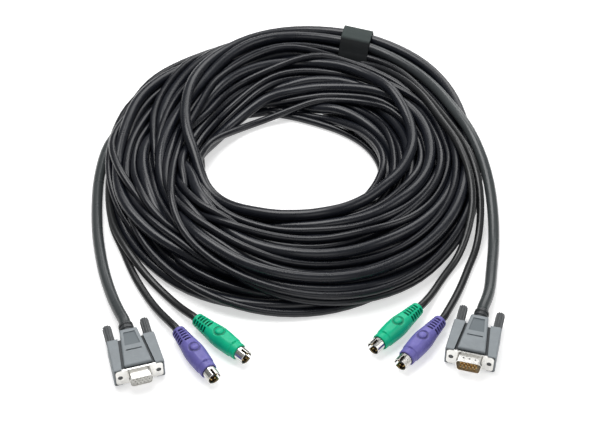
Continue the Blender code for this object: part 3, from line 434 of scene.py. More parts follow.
class Pile:
    """Three cords wound together: in each upright plane round the hub, every strand is a disc (distance, height)."""

    def __init__(self, radii, turns, seed):
        inner, outer = ring_edges()
        rng = np.random.default_rng(seed)
        first = JOIN_STATION + turns * STATIONS
        knots, shares = wandering_shares(rng, turns, min(LEAVE_STATION.values()))
        across, table = pile_shares()
        self.spans = {}
        stations, cords, wanted = [], [], []
        count = 0
        for number, cord in enumerate(CORDS):
            run = np.arange(first, LEAVE_STATION[cord] - 1, -1)
            self.spans[cord] = (count, count + len(run))
            count += len(run)
            stations.append(run)
            cords.append(np.full(len(run), number))
            wanted.append(np.clip(between_knots(knots, shares[number], run), 0.0, 1.0))
        self.run = np.concatenate(stations)
        self.cord = np.concatenate(cords)
        self.plane = self.run % STATIONS
        self.turn = (first - self.run) // STATIONS
        self.radius = np.array(radii)[self.cord]
        self.low = inner[self.plane] + self.radius
        self.high = outer[self.plane] - self.radius
        share = np.concatenate(wanted)
        place = [np.interp(s, across, table[p]) for s, p in zip(share, self.plane)]
        spread = (outer - inner)[self.plane]
        self.target = np.clip(inner[self.plane] + spread * np.array(place), self.low, self.high)
        height = self.radius + (first - self.run) / STATIONS * TURN_RISE
        height = height + np.array([0.0, THIN_RISE, THIN_RISE])[self.cord]
        self.at = np.stack([self.target, height], axis=1)
        self.pull = np.ones(count)
        self.held = np.zeros(count, bool)
        self.rest = np.zeros(count)

    def part(self, cord, high, low):
        """Which points of a cord lie between two unwrapped angles, and their angles."""
        start, end = self.spans[cord]
        angle = self.run[start:end] * STATION_ANGLE
        chosen = np.where((angle <= high) & (angle >= low))[0]
        return chosen + start, angle[chosen]

    def guide(self, cord, route, lift):
        """Draws a strand towards a route of (angle, distance) on top of the pile."""
        angles, distances = zip(*route[::-1])
        chosen, angle = self.part(cord, angles[-1], angles[0])
        self.target[chosen] = np.interp(angle, angles, distances)
        self.at[chosen, 0] = self.target[chosen]
        self.at[chosen, 1] += lift
        self.pull[chosen] = GUIDE_PULL
        self.high[chosen] = np.maximum(self.high[chosen], self.target[chosen])
        # The strand swings over to the route from where it was drawn to before
        near, angle = self.part(cord, angles[-1] + SWING_OVER, angles[-1])
        swing = (angle - angles[-1]) / SWING_OVER
        swing = swing * swing * (3 - 2 * swing)
        self.target[near] = self.target[near] * swing + distances[-1] * (1 - swing)

    def hold(self, cord, route, high, low, turn=0):
        """Fixes a strand on a route of points in mm from the hub, between two angles of one turn."""
        angle, distance, height = as_polar(route)
        order = np.argsort(angle)
        chosen, angles = self.part(cord, high + 360 * turn, low + 360 * turn)
        angles = angles - 360 * turn
        self.fix(chosen, np.interp(angles, angle[order], distance[order]),
                 np.interp(angles, angle[order], height[order]))

    def fix(self, chosen, distance, height):
        """Fixes points at a distance from the hub, and at a height that they reach as the pile settles."""
        self.at[chosen, 0] = self.target[chosen] = distance
        self.rest[chosen] = height
        self.held[chosen] = True

    def seat(self, cord, distance, height, turn=0):
        """Fixes a strand in the band, with room for the band round it."""
        middle = BAND_ANGLE + 360 * turn
        chosen, _ = self.part(cord, middle + BAND_SWING, middle - BAND_SWING)
        self.fix(chosen, distance, height)
        self.radius[chosen] += BAND_ROOM

    def settle(self):
        """Lets the strands sink, slide to their targets and push each other apart until they only touch."""
        at, radius, count = self.at, self.radius, len(self.at)
        slots = (self.turn.max() + 1) * 3
        grid = np.full((STATIONS, slots), -1)
        grid[self.plane, self.turn * 3 + self.cord] = np.arange(count)
        one, two = np.triu_indices(slots, 1)
        one, two = grid[:, one].ravel(), grid[:, two].ravel()
        real = (one >= 0) & (two >= 0)
        one, two = one[real], two[real]
        need = radius[one] + radius[two]
        free = ~self.held
        inside = free.copy()
        for start, end in self.spans.values():
            inside[start] = inside[end - 1] = False
        inside = np.where(inside)[0]
        share_one, share_two = free[one].astype(float), free[two].astype(float)
        total = np.maximum(share_one + share_two, 1e-9)
        share_one, share_two = share_one / total, share_two / total
        start, held = at[self.held, 1].copy(), self.held
        for step in range(sum(PACK_STEPS)):
            sunk = min(step / (0.9 * PACK_STEPS[0]), 1.0)
            at[held, 1] = start + (self.rest[held] - start) * sunk
            phase = int(np.searchsorted(np.cumsum(PACK_STEPS), step, side="right"))
            at[free, 1] -= SINK[phase]
            at[free, 0] += ((self.target - at[:, 0]) * self.pull)[free] * SLIDE[phase]
            for _ in range(SMOOTH_PASSES[phase]):
                middle = (at[inside - 1] + at[inside + 1]) / 2
                at[inside] += SMOOTH[phase] * (middle - at[inside])
            if step % NEAR_STEPS == 0:
                gap = at[one] - at[two]
                near = (gap ** 2).sum(1) < (need + NEAR_SPARE) ** 2
                a, b, reach = one[near], two[near], need[near] * TOUCH_SPARE
                share_a, share_b = share_one[near], share_two[near]
            for _ in range(PUSH_PASSES[phase]):
                gap = at[a] - at[b]
                distance = np.sqrt((gap ** 2).sum(1)) + 1e-6
                over = np.maximum(reach - distance, 0)
                hit = over > 0
                push = gap[hit] * (over / distance)[hit, None]
                first, second = a[hit], b[hit]
                touches = np.bincount(first, minlength=count) + np.bincount(second, minlength=count)
                ease = 1.2 / np.maximum(touches, 1) ** 0.5
                for axis in range(2):
                    moved = (np.bincount(first, push[:, axis] * share_a[hit], count)
                             - np.bincount(second, push[:, axis] * share_b[hit], count))
                    at[:, axis] += moved * ease
                at[free, 1] = np.maximum(at[:, 1], radius)[free]
                at[free, 0] = np.clip(at[:, 0], self.low - 0.5, self.high + 0.5)[free]
        gap = (at[one] - at[two])[share_one + share_two > 0]
        need = need[share_one + share_two > 0]
        return float(np.maximum(need - np.sqrt((gap ** 2).sum(1)), 0).max())

    def points(self, cord):
        """The cord's points in mm from the hub, in the order of winding."""
        start, end = self.spans[cord]
        angle = np.radians(self.run[start:end] * STATION_ANGLE)
        distance, height = self.at[start:end].T
        return np.stack([distance * np.cos(angle), distance * np.sin(angle), height], axis=1)


def relaxed(line, before, after):
    """Eases the bends of a cord, most of all those of its leads. The ends at the plugs stay in place."""
    place = np.arange(len(line))
    from_leads = np.maximum(before - place, place - (len(line) - 1 - after)) + EASE_POINTS
    share = np.clip(from_leads / EASE_POINTS, EASE_LEAST, 1.0)
    share[:2] = share[-2:] = 0.0
    for _ in range(EASE_STEPS):
        middle = (line[:-2] + line[2:]) / 2
        line[1:-1] += 0.5 * share[1:-1, None] * (middle - line[1:-1])
    return line


def cord_radii(sizes):
    """Radius of each cord in mm, in the order of CORDS."""
    return sizes.video / 2 / MM, sizes.data / 2 / MM, sizes.data / 2 / MM


def wind_coil(sizes):
    """Centre lines of the three cords from the left plug through the coil to the right plug, in metres.

    Also how far the settled strands overlap in one plane at most, in mm. Where they cross between two planes, or
    where their bends are eased, they may overlap further."""
    pile = Pile(cord_radii(sizes), TURNS, sizes.seed)
    leads = {lead: lead_route(lead) for lead in LEADS}
    pile.guide("video", TOP_STRANDS["video"], 3.0)
    for cord in CORDS:
        pile.guide(cord, TOP_STRANDS["video_end" if cord == "video" else cord], 0.0)
    start, end = OVER_SPAN
    chosen, angle = pile.part("video", end, start)
    pile.at[chosen, 1] += OVER_RISE * np.sin(np.radians((angle - start) * (180.0 / (end - start)))) ** 2
    for cord, route in FIRST_STRANDS.items():
        pile.guide(cord, [(angle + 360.0 * TURNS, distance) for angle, distance in route], 0.0)
        pile.hold(cord, leads[cord + "_left"], HELD_FROM, HELD_TO[cord], TURNS)
    for cord in CORDS:
        last = LEAVE_STATION[cord] * STATION_ANGLE
        pile.hold(cord, leads[cord + "_right"], last + 3.0, last)
        pile.seat(cord, *BAND_SEATS[cord])
    pile.seat("video", *BAND_SEATS["video_turn"], turn=1)
    worst = pile.settle()
    lines = {}
    for cord in CORDS:
        left, right = leads[cord + "_left"], leads[cord + "_right"]
        before = left[as_polar(left)[0] > JOIN_STATION * STATION_ANGLE + 1.0]
        after = right[as_polar(right)[0] < LEAVE_STATION[cord] * STATION_ANGLE - 1.0]
        line = relaxed(np.vstack([before[::-1], pile.points(cord), after]), len(before), len(after))
        lines[cord] = [HUB + Vector(p) * MM for p in line.tolist()]
    return lines, worst


def hull_round(circles, grow):
    """Outline of a strap pulled round some circles (across, up, radius)."""
    outline = []
    for k in range(BAND_POINTS):
        angle = 2 * math.pi * k / BAND_POINTS
        nx, nz = math.cos(angle), math.sin(angle)
        across, up, radius = max(circles, key=lambda c: c[0] * nx + c[1] * nz + c[2])
        outline.append((across + (radius + grow) * nx, up + (radius + grow) * nz))
    return outline


def band_mesh(radii):
    """The strap as one closed ring with rounded edges, mapped in mm round it and along the cords."""
    circles = []
    for key, (distance, height) in BAND_SEATS.items():
        circles.append((distance, height, radii[CORDS.index(key.replace("_turn", ""))]))
    stations = [(-BAND_HALF_LENGTH + away, BAND_CLEAR + BAND_WALL - lost) for away, lost in BAND_RIM]
    stations += [(-place, grow) for place, grow in stations[::-1]]
    stations = [(-BAND_HALF_LENGTH, BAND_CLEAR)] + stations + [(BAND_HALF_LENGTH, BAND_CLEAR)]
    shape = bmesh.new()
    layer = shape.loops.layers.uv.new("Strap")
    rings = []
    for along, grow in stations:
        rings.append([(along, shape.verts.new(band_place(r, along, z))) for r, z in hull_round(circles, grow)])
    for one, two in zip(rings, rings[1:] + rings[:1]):
        for k in range(BAND_POINTS):
            n = (k + 1) % BAND_POINTS
            corners = (one[k], one[n], two[n], two[k])
            face = shape.faces.new([corner[1] for corner in corners])
            for loop, corner, step in zip(face.loops, corners, (k, k + 1, k + 1, k)):
                loop[layer].uv = (step * BAND_POINT_SPACING, corner[0])
    bmesh.ops.recalc_face_normals(shape, faces=shape.faces)
    mesh = as_mesh(shape, "band")
    mesh.shade_smooth()
    return mesh


def band_place(distance, along, height):
    """A point of the band, which runs straight along its cords and lies askew across them."""
    turn = math.radians(BAND_ANGLE)
    out = Vector((math.cos(turn), math.sin(turn)))
    side = Vector((-out.y, out.x))
    shift = (distance - BAND_SEATS["video"][0]) * math.tan(math.radians(BAND_SKEW))
    point = out * distance + side * (along + shift)
    return HUB + Vector((point.x, point.y, height)) * MM


def as_mesh(shape, name):
    mesh = bpy.data.meshes.new(name)
    shape.to_mesh(mesh)
    shape.free()
    return mesh


def fade(values, start, end):
    """0 before the start, 1 after the end, and a smooth step between."""
    share = np.clip((values - start) / (end - start), 0.0, 1.0)
    return share * share * (3 - 2 * share)


def body_radius(y, angle):
    """Radius of a round plug's body at distances behind its front and angles round its axis, in mm and degrees.

    Also how deep each point lies in a slit or groove, from 0 to 1, which sets its painted shade."""
    radius = np.interp(y, *zip(*BODY_OUTSIDE))
    up = np.maximum(np.sin(np.radians(angle)), 0.05)
    start, full, end, gone = FLAT_SPAN
    flat = fade(y, start, full) * (1 - fade(y, end, gone))
    level = (radius - FLAT_DROP) / up
    radius = radius - flat * np.maximum(radius - level, 0.0)
    across, along = radius * np.cos(np.radians(angle)), y - BUTTON_PLACE
    from_button = np.hypot(across, along) + 50.0 * (np.sin(np.radians(angle)) < 0.4)
    inner, low, high, outer = BUTTON_RING
    groove = fade(from_button, inner, low) * (1 - fade(from_button, high, outer))
    dome = np.maximum(1 - (from_button / inner) ** 2, 0.0)
    radius = radius + BUTTON_RISE * dome ** 0.8 - BUTTON_GROOVE * groove
    sunk = GROOVE_SHADE * groove
    for column in range(SLIT_COLUMNS):
        turned = np.abs((angle - 90.0 - column * 360.0 / SLIT_COLUMNS + 180.0) % 360.0 - 180.0)
        first = SLIT_FIRST + (column % 2) * SLIT_PITCH / 2
        step = (y - first) / SLIT_PITCH
        nearest = np.clip(np.round(step), 0, SLIT_COUNT - 1) * SLIT_PITCH + first
        slit = 1 - fade(np.abs(y - nearest), SLIT_HALF - 0.15, SLIT_HALF + 0.2)
        slit = slit * (1 - fade(turned, SLIT_REACH - 3.0, SLIT_REACH + 1.0))
        radius = radius - SLIT_DEPTH * slit
        sunk = sunk + slit
    top = np.abs(angle - 90.0)
    start, end = NOTCH_SPAN
    notch = fade(y, start - NOTCH_EDGE, start) * (1 - fade(y, end, end + NOTCH_EDGE))
    radius = radius - NOTCH_DEPTH * notch * (1 - fade(top, NOTCH_REACH - 2.0, NOTCH_REACH))
    return radius, np.clip(sunk, 0.0, 1.0)


def plug_place(plug):
    """Where a plug's own frame lies in the world, in metres, and its turn in radians."""
    place, turn = next((p, t) for name, p, t, _, _ in PLUGS.values() if name == plug)
    return HUB + Vector((*place, 0.0)) * MM, math.radians(turn)


def plug_frame(plug):
    """From a plug's own frame, in mm, to the world."""
    place, turn = plug_place(plug)
    return Matrix.Translation(place) @ Matrix.Rotation(turn, 4, "Z") @ Matrix.Scale(MM, 4)


def body_mesh(plug):
    """The coloured body of a round plug: flat on top with a button, and staggered slits round its rear."""
    length = BODY_OUTSIDE[-1][0]
    rows = np.arange(0.0, length, BODY_STEP)
    rows = np.append(rows, length)
    angle = np.arange(BODY_SIDES) * 360.0 / BODY_SIDES
    outside, sunk = body_radius(rows[:, None], angle[None, :] + np.zeros((len(rows), 1)))
    sunk = np.vstack([np.zeros((len(BODY_SOCKET), BODY_SIDES)), sunk]).ravel()
    turned = plug_frame(plug)
    shape = bmesh.new()
    rings = []
    profile = [(y, np.full(BODY_SIDES, max(radius, 0.01))) for y, radius in BODY_SOCKET] + list(zip(rows, outside))
    for y, radii in profile:
        ring = zip(radii * np.cos(np.radians(angle)), radii * np.sin(np.radians(angle)))
        rings.append([shape.verts.new(turned @ Vector((x, y, BODY_AXIS + z))) for x, z in ring])
    shape.faces.new(rings[0])
    shape.faces.new(rings[-1][::-1])
    for one, two in zip(rings, rings[1:]):
        for k in range(BODY_SIDES):
            n = (k + 1) % BODY_SIDES
            shape.faces.new((one[k], two[k], two[n], one[n]))
    bmesh.ops.recalc_face_normals(shape, faces=shape.faces)
    mesh = as_mesh(shape, plug + "_moulding")
    mesh.attributes.new("sunk", "FLOAT", "POINT").data.foreach_set("value", sunk)
    mesh.shade_smooth()
    mesh.set_sharp_from_angle(angle=math.radians(50))
    return mesh


def piece(name, mesh, material, body, *nodes):
    """A finished piece that rides on a body and replaces CAD nodes."""
    mesh.materials.append(material)
    made = bpy.data.objects.new(name, mesh)
    bpy.context.scene.collection.objects.link(made)
    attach(made, body)
    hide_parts(*nodes)
    return made


# Node trees
def socket(group, name, kind, output=False, default=None):
    made = group.interface.new_socket(name=name, in_out="OUTPUT" if output else "INPUT", socket_type=kind)
    if default is not None:
        made.default_value = default
    return made


def node(tree, kind, settings=None, **inputs):
    """Adds a node. An input is a value, or a socket to link from; its name's underscores stand for spaces."""
    made = tree.nodes.new(kind)
    for name, value in (settings or {}).items():
        setattr(made, name, value)
    for name, value in inputs.items():
        key = int(name[1:]) if name[0] == "i" and name[1:].isdigit() else name.replace("_", " ")
        if isinstance(value, bpy.types.NodeSocket):
            tree.links.new(value, made.inputs[key])
        else:
            made.inputs[key].default_value = value
    return made


def maths(tree, operation, *values):
    made = tree.nodes.new("ShaderNodeMath")
    made.operation = operation
    for number, value in enumerate(values):
        if isinstance(value, bpy.types.NodeSocket):
            tree.links.new(value, made.inputs[number])
        else:
            made.inputs[number].default_value = value
    return made.outputs[0]


def cord_tree():
    """Geometry nodes: a round jacket along a line, with its own value of length along it."""
    name = "Round jacket"
    if name in bpy.data.node_groups:
        return bpy.data.node_groups[name]
    tree = bpy.data.node_groups.new(name, "GeometryNodeTree")
    socket(tree, "Geometry", "NodeSocketGeometry")
    socket(tree, "Radius", "NodeSocketFloat", default=0.004)
    socket(tree, "Sides", "NodeSocketInt", default=14)
    socket(tree, "Material", "NodeSocketMaterial")
    socket(tree, "Geometry", "NodeSocketGeometry", output=True)
    given = tree.nodes.new("NodeGroupInput")
    line = node(tree, "GeometryNodeMeshToCurve", Mesh=given.outputs["Geometry"])
    ring = node(tree, "GeometryNodeCurvePrimitiveCircle", Resolution=given.outputs["Sides"],
                Radius=given.outputs["Radius"])
    along = node(tree, "GeometryNodeSplineParameter")
    keep_along = node(tree, "GeometryNodeCaptureAttribute", {"domain": "POINT"}, Geometry=line.outputs["Curve"])
    keep_along.capture_items.new("FLOAT", "Along")
    tree.links.new(along.outputs["Length"], keep_along.inputs["Along"])
    jacket = node(tree, "GeometryNodeCurveToMesh", Curve=keep_along.outputs["Geometry"],
                  Profile_Curve=ring.outputs["Curve"], Fill_Caps=True)
    stored = node(tree, "GeometryNodeStoreNamedAttribute", {"data_type": "FLOAT", "domain": "POINT"},
                  Geometry=jacket.outputs["Mesh"], Name="along", Value=keep_along.outputs["Along"])
    smooth = node(tree, "GeometryNodeSetShadeSmooth", Geometry=stored.outputs["Geometry"])
    real = node(tree, "GeometryNodeRealizeInstances", Geometry=smooth.outputs["Geometry"])
    finish = node(tree, "GeometryNodeSetMaterial", Geometry=real.outputs["Geometry"],
                  Material=given.outputs["Material"])
    node(tree, "NodeGroupOutput", Geometry=finish.outputs["Geometry"])
    return tree


def grown(name, mesh, tree, **values):
    """A plain mesh object from a geometry tree run on a mesh. Values are for the tree's named inputs."""
    seedling = bpy.data.objects.new(name + "_line", mesh)
    bpy.context.scene.collection.objects.link(seedling)
    modifier = seedling.modifiers.new("Make", "NODES")
    modifier.node_group = tree
    for item in tree.interface.items_tree:
        if item.item_type == "SOCKET" and item.in_out == "INPUT" and item.name in values:
            modifier[item.identifier] = values[item.name]
    bpy.context.view_layer.update()
    evaluated = seedling.evaluated_get(bpy.context.evaluated_depsgraph_get())
    result = bpy.data.meshes.new_from_object(evaluated)
    bpy.data.objects.remove(seedling)
    result.name = name
    made = bpy.data.objects.new(name, result)
    bpy.context.scene.collection.objects.link(made)
    return made


def line_mesh(name, points):
    mesh = bpy.data.meshes.new(name)
    mesh.from_pydata([tuple(p) for p in points], [(k, k + 1) for k in range(len(points) - 1)], [])
    return mesh


# Finishes
def grain_group():
    """Shader group: fine moulded grain, slow mottle and faint handling marks, from a point on the piece."""
    name = "Moulded surface"
    if name in bpy.data.node_groups:
        return bpy.data.node_groups[name]
    tree = bpy.data.node_groups.new(name, "ShaderNodeTree")
    socket(tree, "Place", "NodeSocketVector")
    socket(tree, "Grain Scale", "NodeSocketFloat", default=2500.0)
    socket(tree, "Mottle Scale", "NodeSocketFloat", default=60.0)
    socket(tree, "Marks", "NodeSocketFloat", default=0.3)
    socket(tree, "Grain", "NodeSocketFloat", output=True)
    socket(tree, "Mottle", "NodeSocketFloat", output=True)
    socket(tree, "Rubbed", "NodeSocketFloat", output=True)
    given = tree.nodes.new("NodeGroupInput")
    grain = node(tree, "ShaderNodeTexNoise", Vector=given.outputs["Place"], Scale=given.outputs["Grain Scale"],
                 Detail=2.0)
    mottle = node(tree, "ShaderNodeTexNoise", Vector=given.outputs["Place"], Scale=given.outputs["Mottle Scale"],
                  Detail=4.0, Roughness=0.6)
    streaks = node(tree, "ShaderNodeTexNoise", Vector=given.outputs["Place"],
                   Scale=maths(tree, "MULTIPLY", given.outputs["Mottle Scale"], 4.0), Detail=6.0, Roughness=0.7)
    marked = node(tree, "ShaderNodeMapRange", Value=streaks.outputs[0], From_Min=0.52, From_Max=0.72)
    rubbed = maths(tree, "MULTIPLY", marked.outputs[0], given.outputs["Marks"])
    node(tree, "NodeGroupOutput", Grain=grain.outputs[0], Mottle=mottle.outputs[0], Rubbed=rubbed)
    return tree


def moulded(name, colour, roughness=0.42, grain=2500.0, bump=0.06, marks=0.3, metallic=0.0, specular=0.5):
    """A moulded or plated finish: its colour and gloss vary a little, and a fine grain lies over it."""
    made = bpy.data.materials.new(name)
    made.use_nodes = True
    tree = made.node_tree
    shader = tree.nodes["Principled BSDF"]
    place = node(tree, "ShaderNodeTexCoord")
    surface = node(tree, "ShaderNodeGroup", {"node_tree": grain_group()}, Place=place.outputs["Object"],
                   Grain_Scale=grain, Marks=marks)
    ramp = node(tree, "ShaderNodeValToRGB", i0=surface.outputs["Mottle"])
    low, high = ramp.color_ramp.elements
    low.position, high.position = 0.3, 0.7
    low.color = (*[c * 0.88 for c in colour], 1.0)
    high.color = (*[min(1.0, c * 1.1) for c in colour], 1.0)
    rubbed = (*[min(1.0, c * 1.25 + 0.012) for c in colour], 1.0)
    lighter = node(tree, "ShaderNodeMix", {"data_type": "RGBA"}, Factor=surface.outputs["Rubbed"],
                   A=ramp.outputs[0], B=rubbed)
    tree.links.new(lighter.outputs["Result"], shader.inputs["Base Color"])
    gloss = node(tree, "ShaderNodeMapRange", Value=surface.outputs["Mottle"], From_Min=0.3, From_Max=0.7,
                 To_Min=roughness * 0.88, To_Max=roughness * 1.12)
    tree.links.new(gloss.outputs[0], shader.inputs["Roughness"])
    relief = node(tree, "ShaderNodeBump", Strength=bump, Distance=0.0002, Height=surface.outputs["Grain"])
    tree.links.new(relief.outputs[0], shader.inputs["Normal"])
    shader.inputs["Metallic"].default_value = metallic
    shader.inputs["Specular IOR Level"].default_value = specular
    return made


def edge(tree, value, start, width):
    """0 where the value lies below the start, and 1 from the given width past it."""
    return node(tree, "ShaderNodeMapRange", Value=value, From_Min=start, From_Max=start + width).outputs[0]


def product(tree, *values):
    whole = values[0]
    for value in values[1:]:
        whole = maths(tree, "MULTIPLY", whole, value)
    return whole


def hood_group():
    """Shader group: where the window and the painted shade of the channels of a hood lie, from a point in the plug's
    own frame.
    """
    name = "Hood form"
    if name in bpy.data.node_groups:
        return bpy.data.node_groups[name]
    tree = bpy.data.node_groups.new(name, "ShaderNodeTree")
    socket(tree, "Place", "NodeSocketVector")
    socket(tree, "Window", "NodeSocketFloat", output=True)
    socket(tree, "Channel", "NodeSocketFloat", output=True)
    given = tree.nodes.new("NodeGroupInput")
    apart = node(tree, "ShaderNodeSeparateXYZ", Vector=given.outputs["Place"])
    across = maths(tree, "ABSOLUTE", apart.outputs["X"])
    back, up = apart.outputs["Y"], apart.outputs["Z"]

    def inside(half_width, spare):
        (y0, w0), (y1, w1) = half_width
        side = node(tree, "ShaderNodeMapRange", {"clamp": False}, Value=back, From_Min=y0, From_Max=y1, To_Min=w0,
                    To_Max=w1)
        return maths(tree, "SUBTRACT", maths(tree, "ADD", side.outputs[0], spare), across)

    (start, _), (end, _) = WINDOW_HALF_WIDTH
    window = product(tree, edge(tree, inside(WINDOW_HALF_WIDTH, 0.0), -0.1, 0.2), edge(tree, back, start - 0.1, 0.2),
                     edge(tree, maths(tree, "MULTIPLY", back, -1.0), -end - 0.1, 0.2),
                     edge(tree, up, PANEL_TOP - 0.9, 0.2))
    # mask of painted shade in the channels beside the panel and in the trough in front of it
    channel = product(tree, edge(tree, inside(PANEL_HALF_WIDTH, CHANNEL_REACH), -0.2, 0.5),
                      edge(tree, maths(tree, "MULTIPLY", up, -1.0), -CHANNEL_TOP - 0.5, 1.4),
                      edge(tree, up, BODY_AXIS, 0.5), edge(tree, back, -0.2, 0.2))
    node(tree, "NodeGroupOutput", Window=window, Channel=channel)
    return tree


def weave_group():
    """Shader group: the raised threads of a woven strap, from a point on its map in mm."""
    name = "Strap weave"
    if name in bpy.data.node_groups:
        return bpy.data.node_groups[name]
    tree = bpy.data.node_groups.new(name, "ShaderNodeTree")
    socket(tree, "Map", "NodeSocketVector")
    socket(tree, "Pitch", "NodeSocketFloat", default=0.9)
    socket(tree, "Height", "NodeSocketFloat", output=True)
    given = tree.nodes.new("NodeGroupInput")
    apart = node(tree, "ShaderNodeSeparateXYZ", Vector=given.outputs["Map"])
    waves = []
    for axis in ("X", "Y"):
        phase = maths(tree, "DIVIDE", maths(tree, "MULTIPLY", apart.outputs[axis], math.pi), given.outputs["Pitch"])
        waves.append(maths(tree, "SINE", phase))
    threads = maths(tree, "ABSOLUTE", maths(tree, "MULTIPLY", *waves))
    node(tree, "NodeGroupOutput", Height=threads)
    return tree


def in_plug_frame(tree, plug):
    """Socket with the shaded point in a plug's own frame, in mm."""
    place, turn = plug_place(plug)
    given = node(tree, "ShaderNodeTexCoord")
    own = node(tree, "ShaderNodeMapping", {"vector_type": "TEXTURE"}, Vector=given.outputs["Object"],
               Location=place, Rotation=(0.0, 0.0, turn), Scale=(MM, MM, MM))
    return own.outputs[0]


def tint(material, mask, colour):
    """Lays a colour over a finish where the mask is 1."""
    tree = material.node_tree
    shader = tree.nodes["Principled BSDF"]
    under = shader.inputs["Base Color"].links[0].from_socket
    mixed = node(tree, "ShaderNodeMix", {"data_type": "RGBA"}, Factor=mask, A=under, B=(*colour, 1.0))
    tree.links.new(mixed.outputs["Result"], shader.inputs["Base Color"])


def own_value(tree, name):
    """Socket with a value that a piece's mesh carries."""
    return node(tree, "ShaderNodeAttribute", {"attribute_name": name}).outputs["Fac"]


def body_finish(name, colour):
    """Moulded plastic, with painted shade in the slits and round the button."""
    made = moulded(name, colour, specular=0.32)
    # painted shade in the slits and the groove round the button
    tint(made, own_value(made.node_tree, "sunk"), [c * 0.16 for c in colour])
    return made


def jacket_finish(name, colour, lit_tail, length):
    """Smooth vinyl, painted paler near the plugs as painted light on the free ends."""
    made = moulded(name, colour, 0.28, 1800.0, 0.04, specular=0.45)
    tree = made.node_tree
    along = own_value(tree, "along")
    start = edge(tree, maths(tree, "MULTIPLY", along, -1.0), -LIT_TAIL_LENGTH, LIT_TAIL_FADE)
    end = edge(tree, along, length - LIT_TAIL_LENGTH, LIT_TAIL_FADE)
    # painted light on the free ends near both plugs
    tint(made, maths(tree, "MAXIMUM", start, end), lit_tail)
    return made


def hood_finish(plug, colour, window, channel):
    """Hood plastic with its darker window and painted shade in its channels."""
    made = moulded(plug + " hood", colour, 0.5, 2500.0, 0.1)
    tree = made.node_tree
    form = node(tree, "ShaderNodeGroup", {"node_tree": hood_group()}, Place=in_plug_frame(tree, plug))
    tint(made, form.outputs["Window"], window)
    # painted shade in the channels
    tint(made, form.outputs["Channel"], channel)
    return made


def shell_finish(plug):
    """Plated shell with three pressed dimples along its top, drawn as painted shade."""
    made = moulded(plug + " shell", NICKEL, 0.3, metallic=1.0)
    tree = made.node_tree
    apart = node(tree, "ShaderNodeSeparateXYZ", Vector=in_plug_frame(tree, plug))
    across = maths(tree, "PINGPONG", apart.outputs["X"], DIMPLE_PITCH / 2)
    away = maths(tree, "ADD", apart.outputs["Y"], DIMPLE_PLACE)
    square = maths(tree, "ADD", maths(tree, "MULTIPLY", across, across), maths(tree, "MULTIPLY", away, away))
    outside = edge(tree, square, DIMPLE_RADIUS ** 2 * 0.5, DIMPLE_RADIUS ** 2)
    aside = edge(tree, maths(tree, "ABSOLUTE", apart.outputs["X"]), DIMPLE_PITCH * 1.4, 0.1)
    top = edge(tree, apart.outputs["Z"], SHELL_TOP, 0.1)
    dimple = product(tree, maths(tree, "SUBTRACT", 1.0, outside), maths(tree, "SUBTRACT", 1.0, aside), top)
    # painted shade in the pressed dimples
    tint(made, dimple, DIMPLE_SHADE)
    return made


def pin_finish(plug):
    """The male insulator, whose pins are gold."""
    made = moulded(plug + " insulator", CREAM_INSULATOR, 0.5, marks=0.0)
    tree = made.node_tree
    apart = node(tree, "ShaderNodeSeparateXYZ", Vector=in_plug_frame(tree, plug))
    pins = edge(tree, maths(tree, "MULTIPLY", apart.outputs["Y"], -1.0), -PIN_FRONT, 0.05)
    tint(made, pins, PIN_GOLD)
    tree.links.new(pins, tree.nodes["Principled BSDF"].inputs["Metallic"])
    return made


def band_finish(colour, pale):
    """Woven strap with a painted sheen on top, with its threads from its own map."""
    made = moulded("Band weave", colour, 0.55, 3000.0, 0.1, specular=0.2)
    tree = made.node_tree
    shader = tree.nodes["Principled BSDF"]
    place = node(tree, "ShaderNodeSeparateXYZ", Vector=node(tree, "ShaderNodeTexCoord").outputs["Object"])
    # painted sheen on the strap's top
    tint(made, edge(tree, place.outputs["Z"], BAND_SHEEN_FROM * MM, BAND_SHEEN_FADE * MM), pale)
    strap = node(tree, "ShaderNodeUVMap", {"uv_map": "Strap"})
    weave = node(tree, "ShaderNodeGroup", {"node_tree": weave_group()}, Map=strap.outputs[0])
    under = shader.inputs["Normal"].links[0].from_socket
    relief = node(tree, "ShaderNodeBump", Strength=0.5, Distance=0.0003, Height=weave.outputs["Height"],
                  Normal=under)
    tree.links.new(relief.outputs[0], shader.inputs["Normal"])
    return made


def finish_nodes(names, material):
    """Gives CAD nodes their finish."""
    for name in names:
        mesh = NODES[name].data
        mesh.materials.clear()
        mesh.materials.append(material)


def matching(*endings):
    return [name for name in NODES if name.endswith(endings)]


# Operators
class CableOperator:
    bl_options = {"REGISTER", "UNDO"}


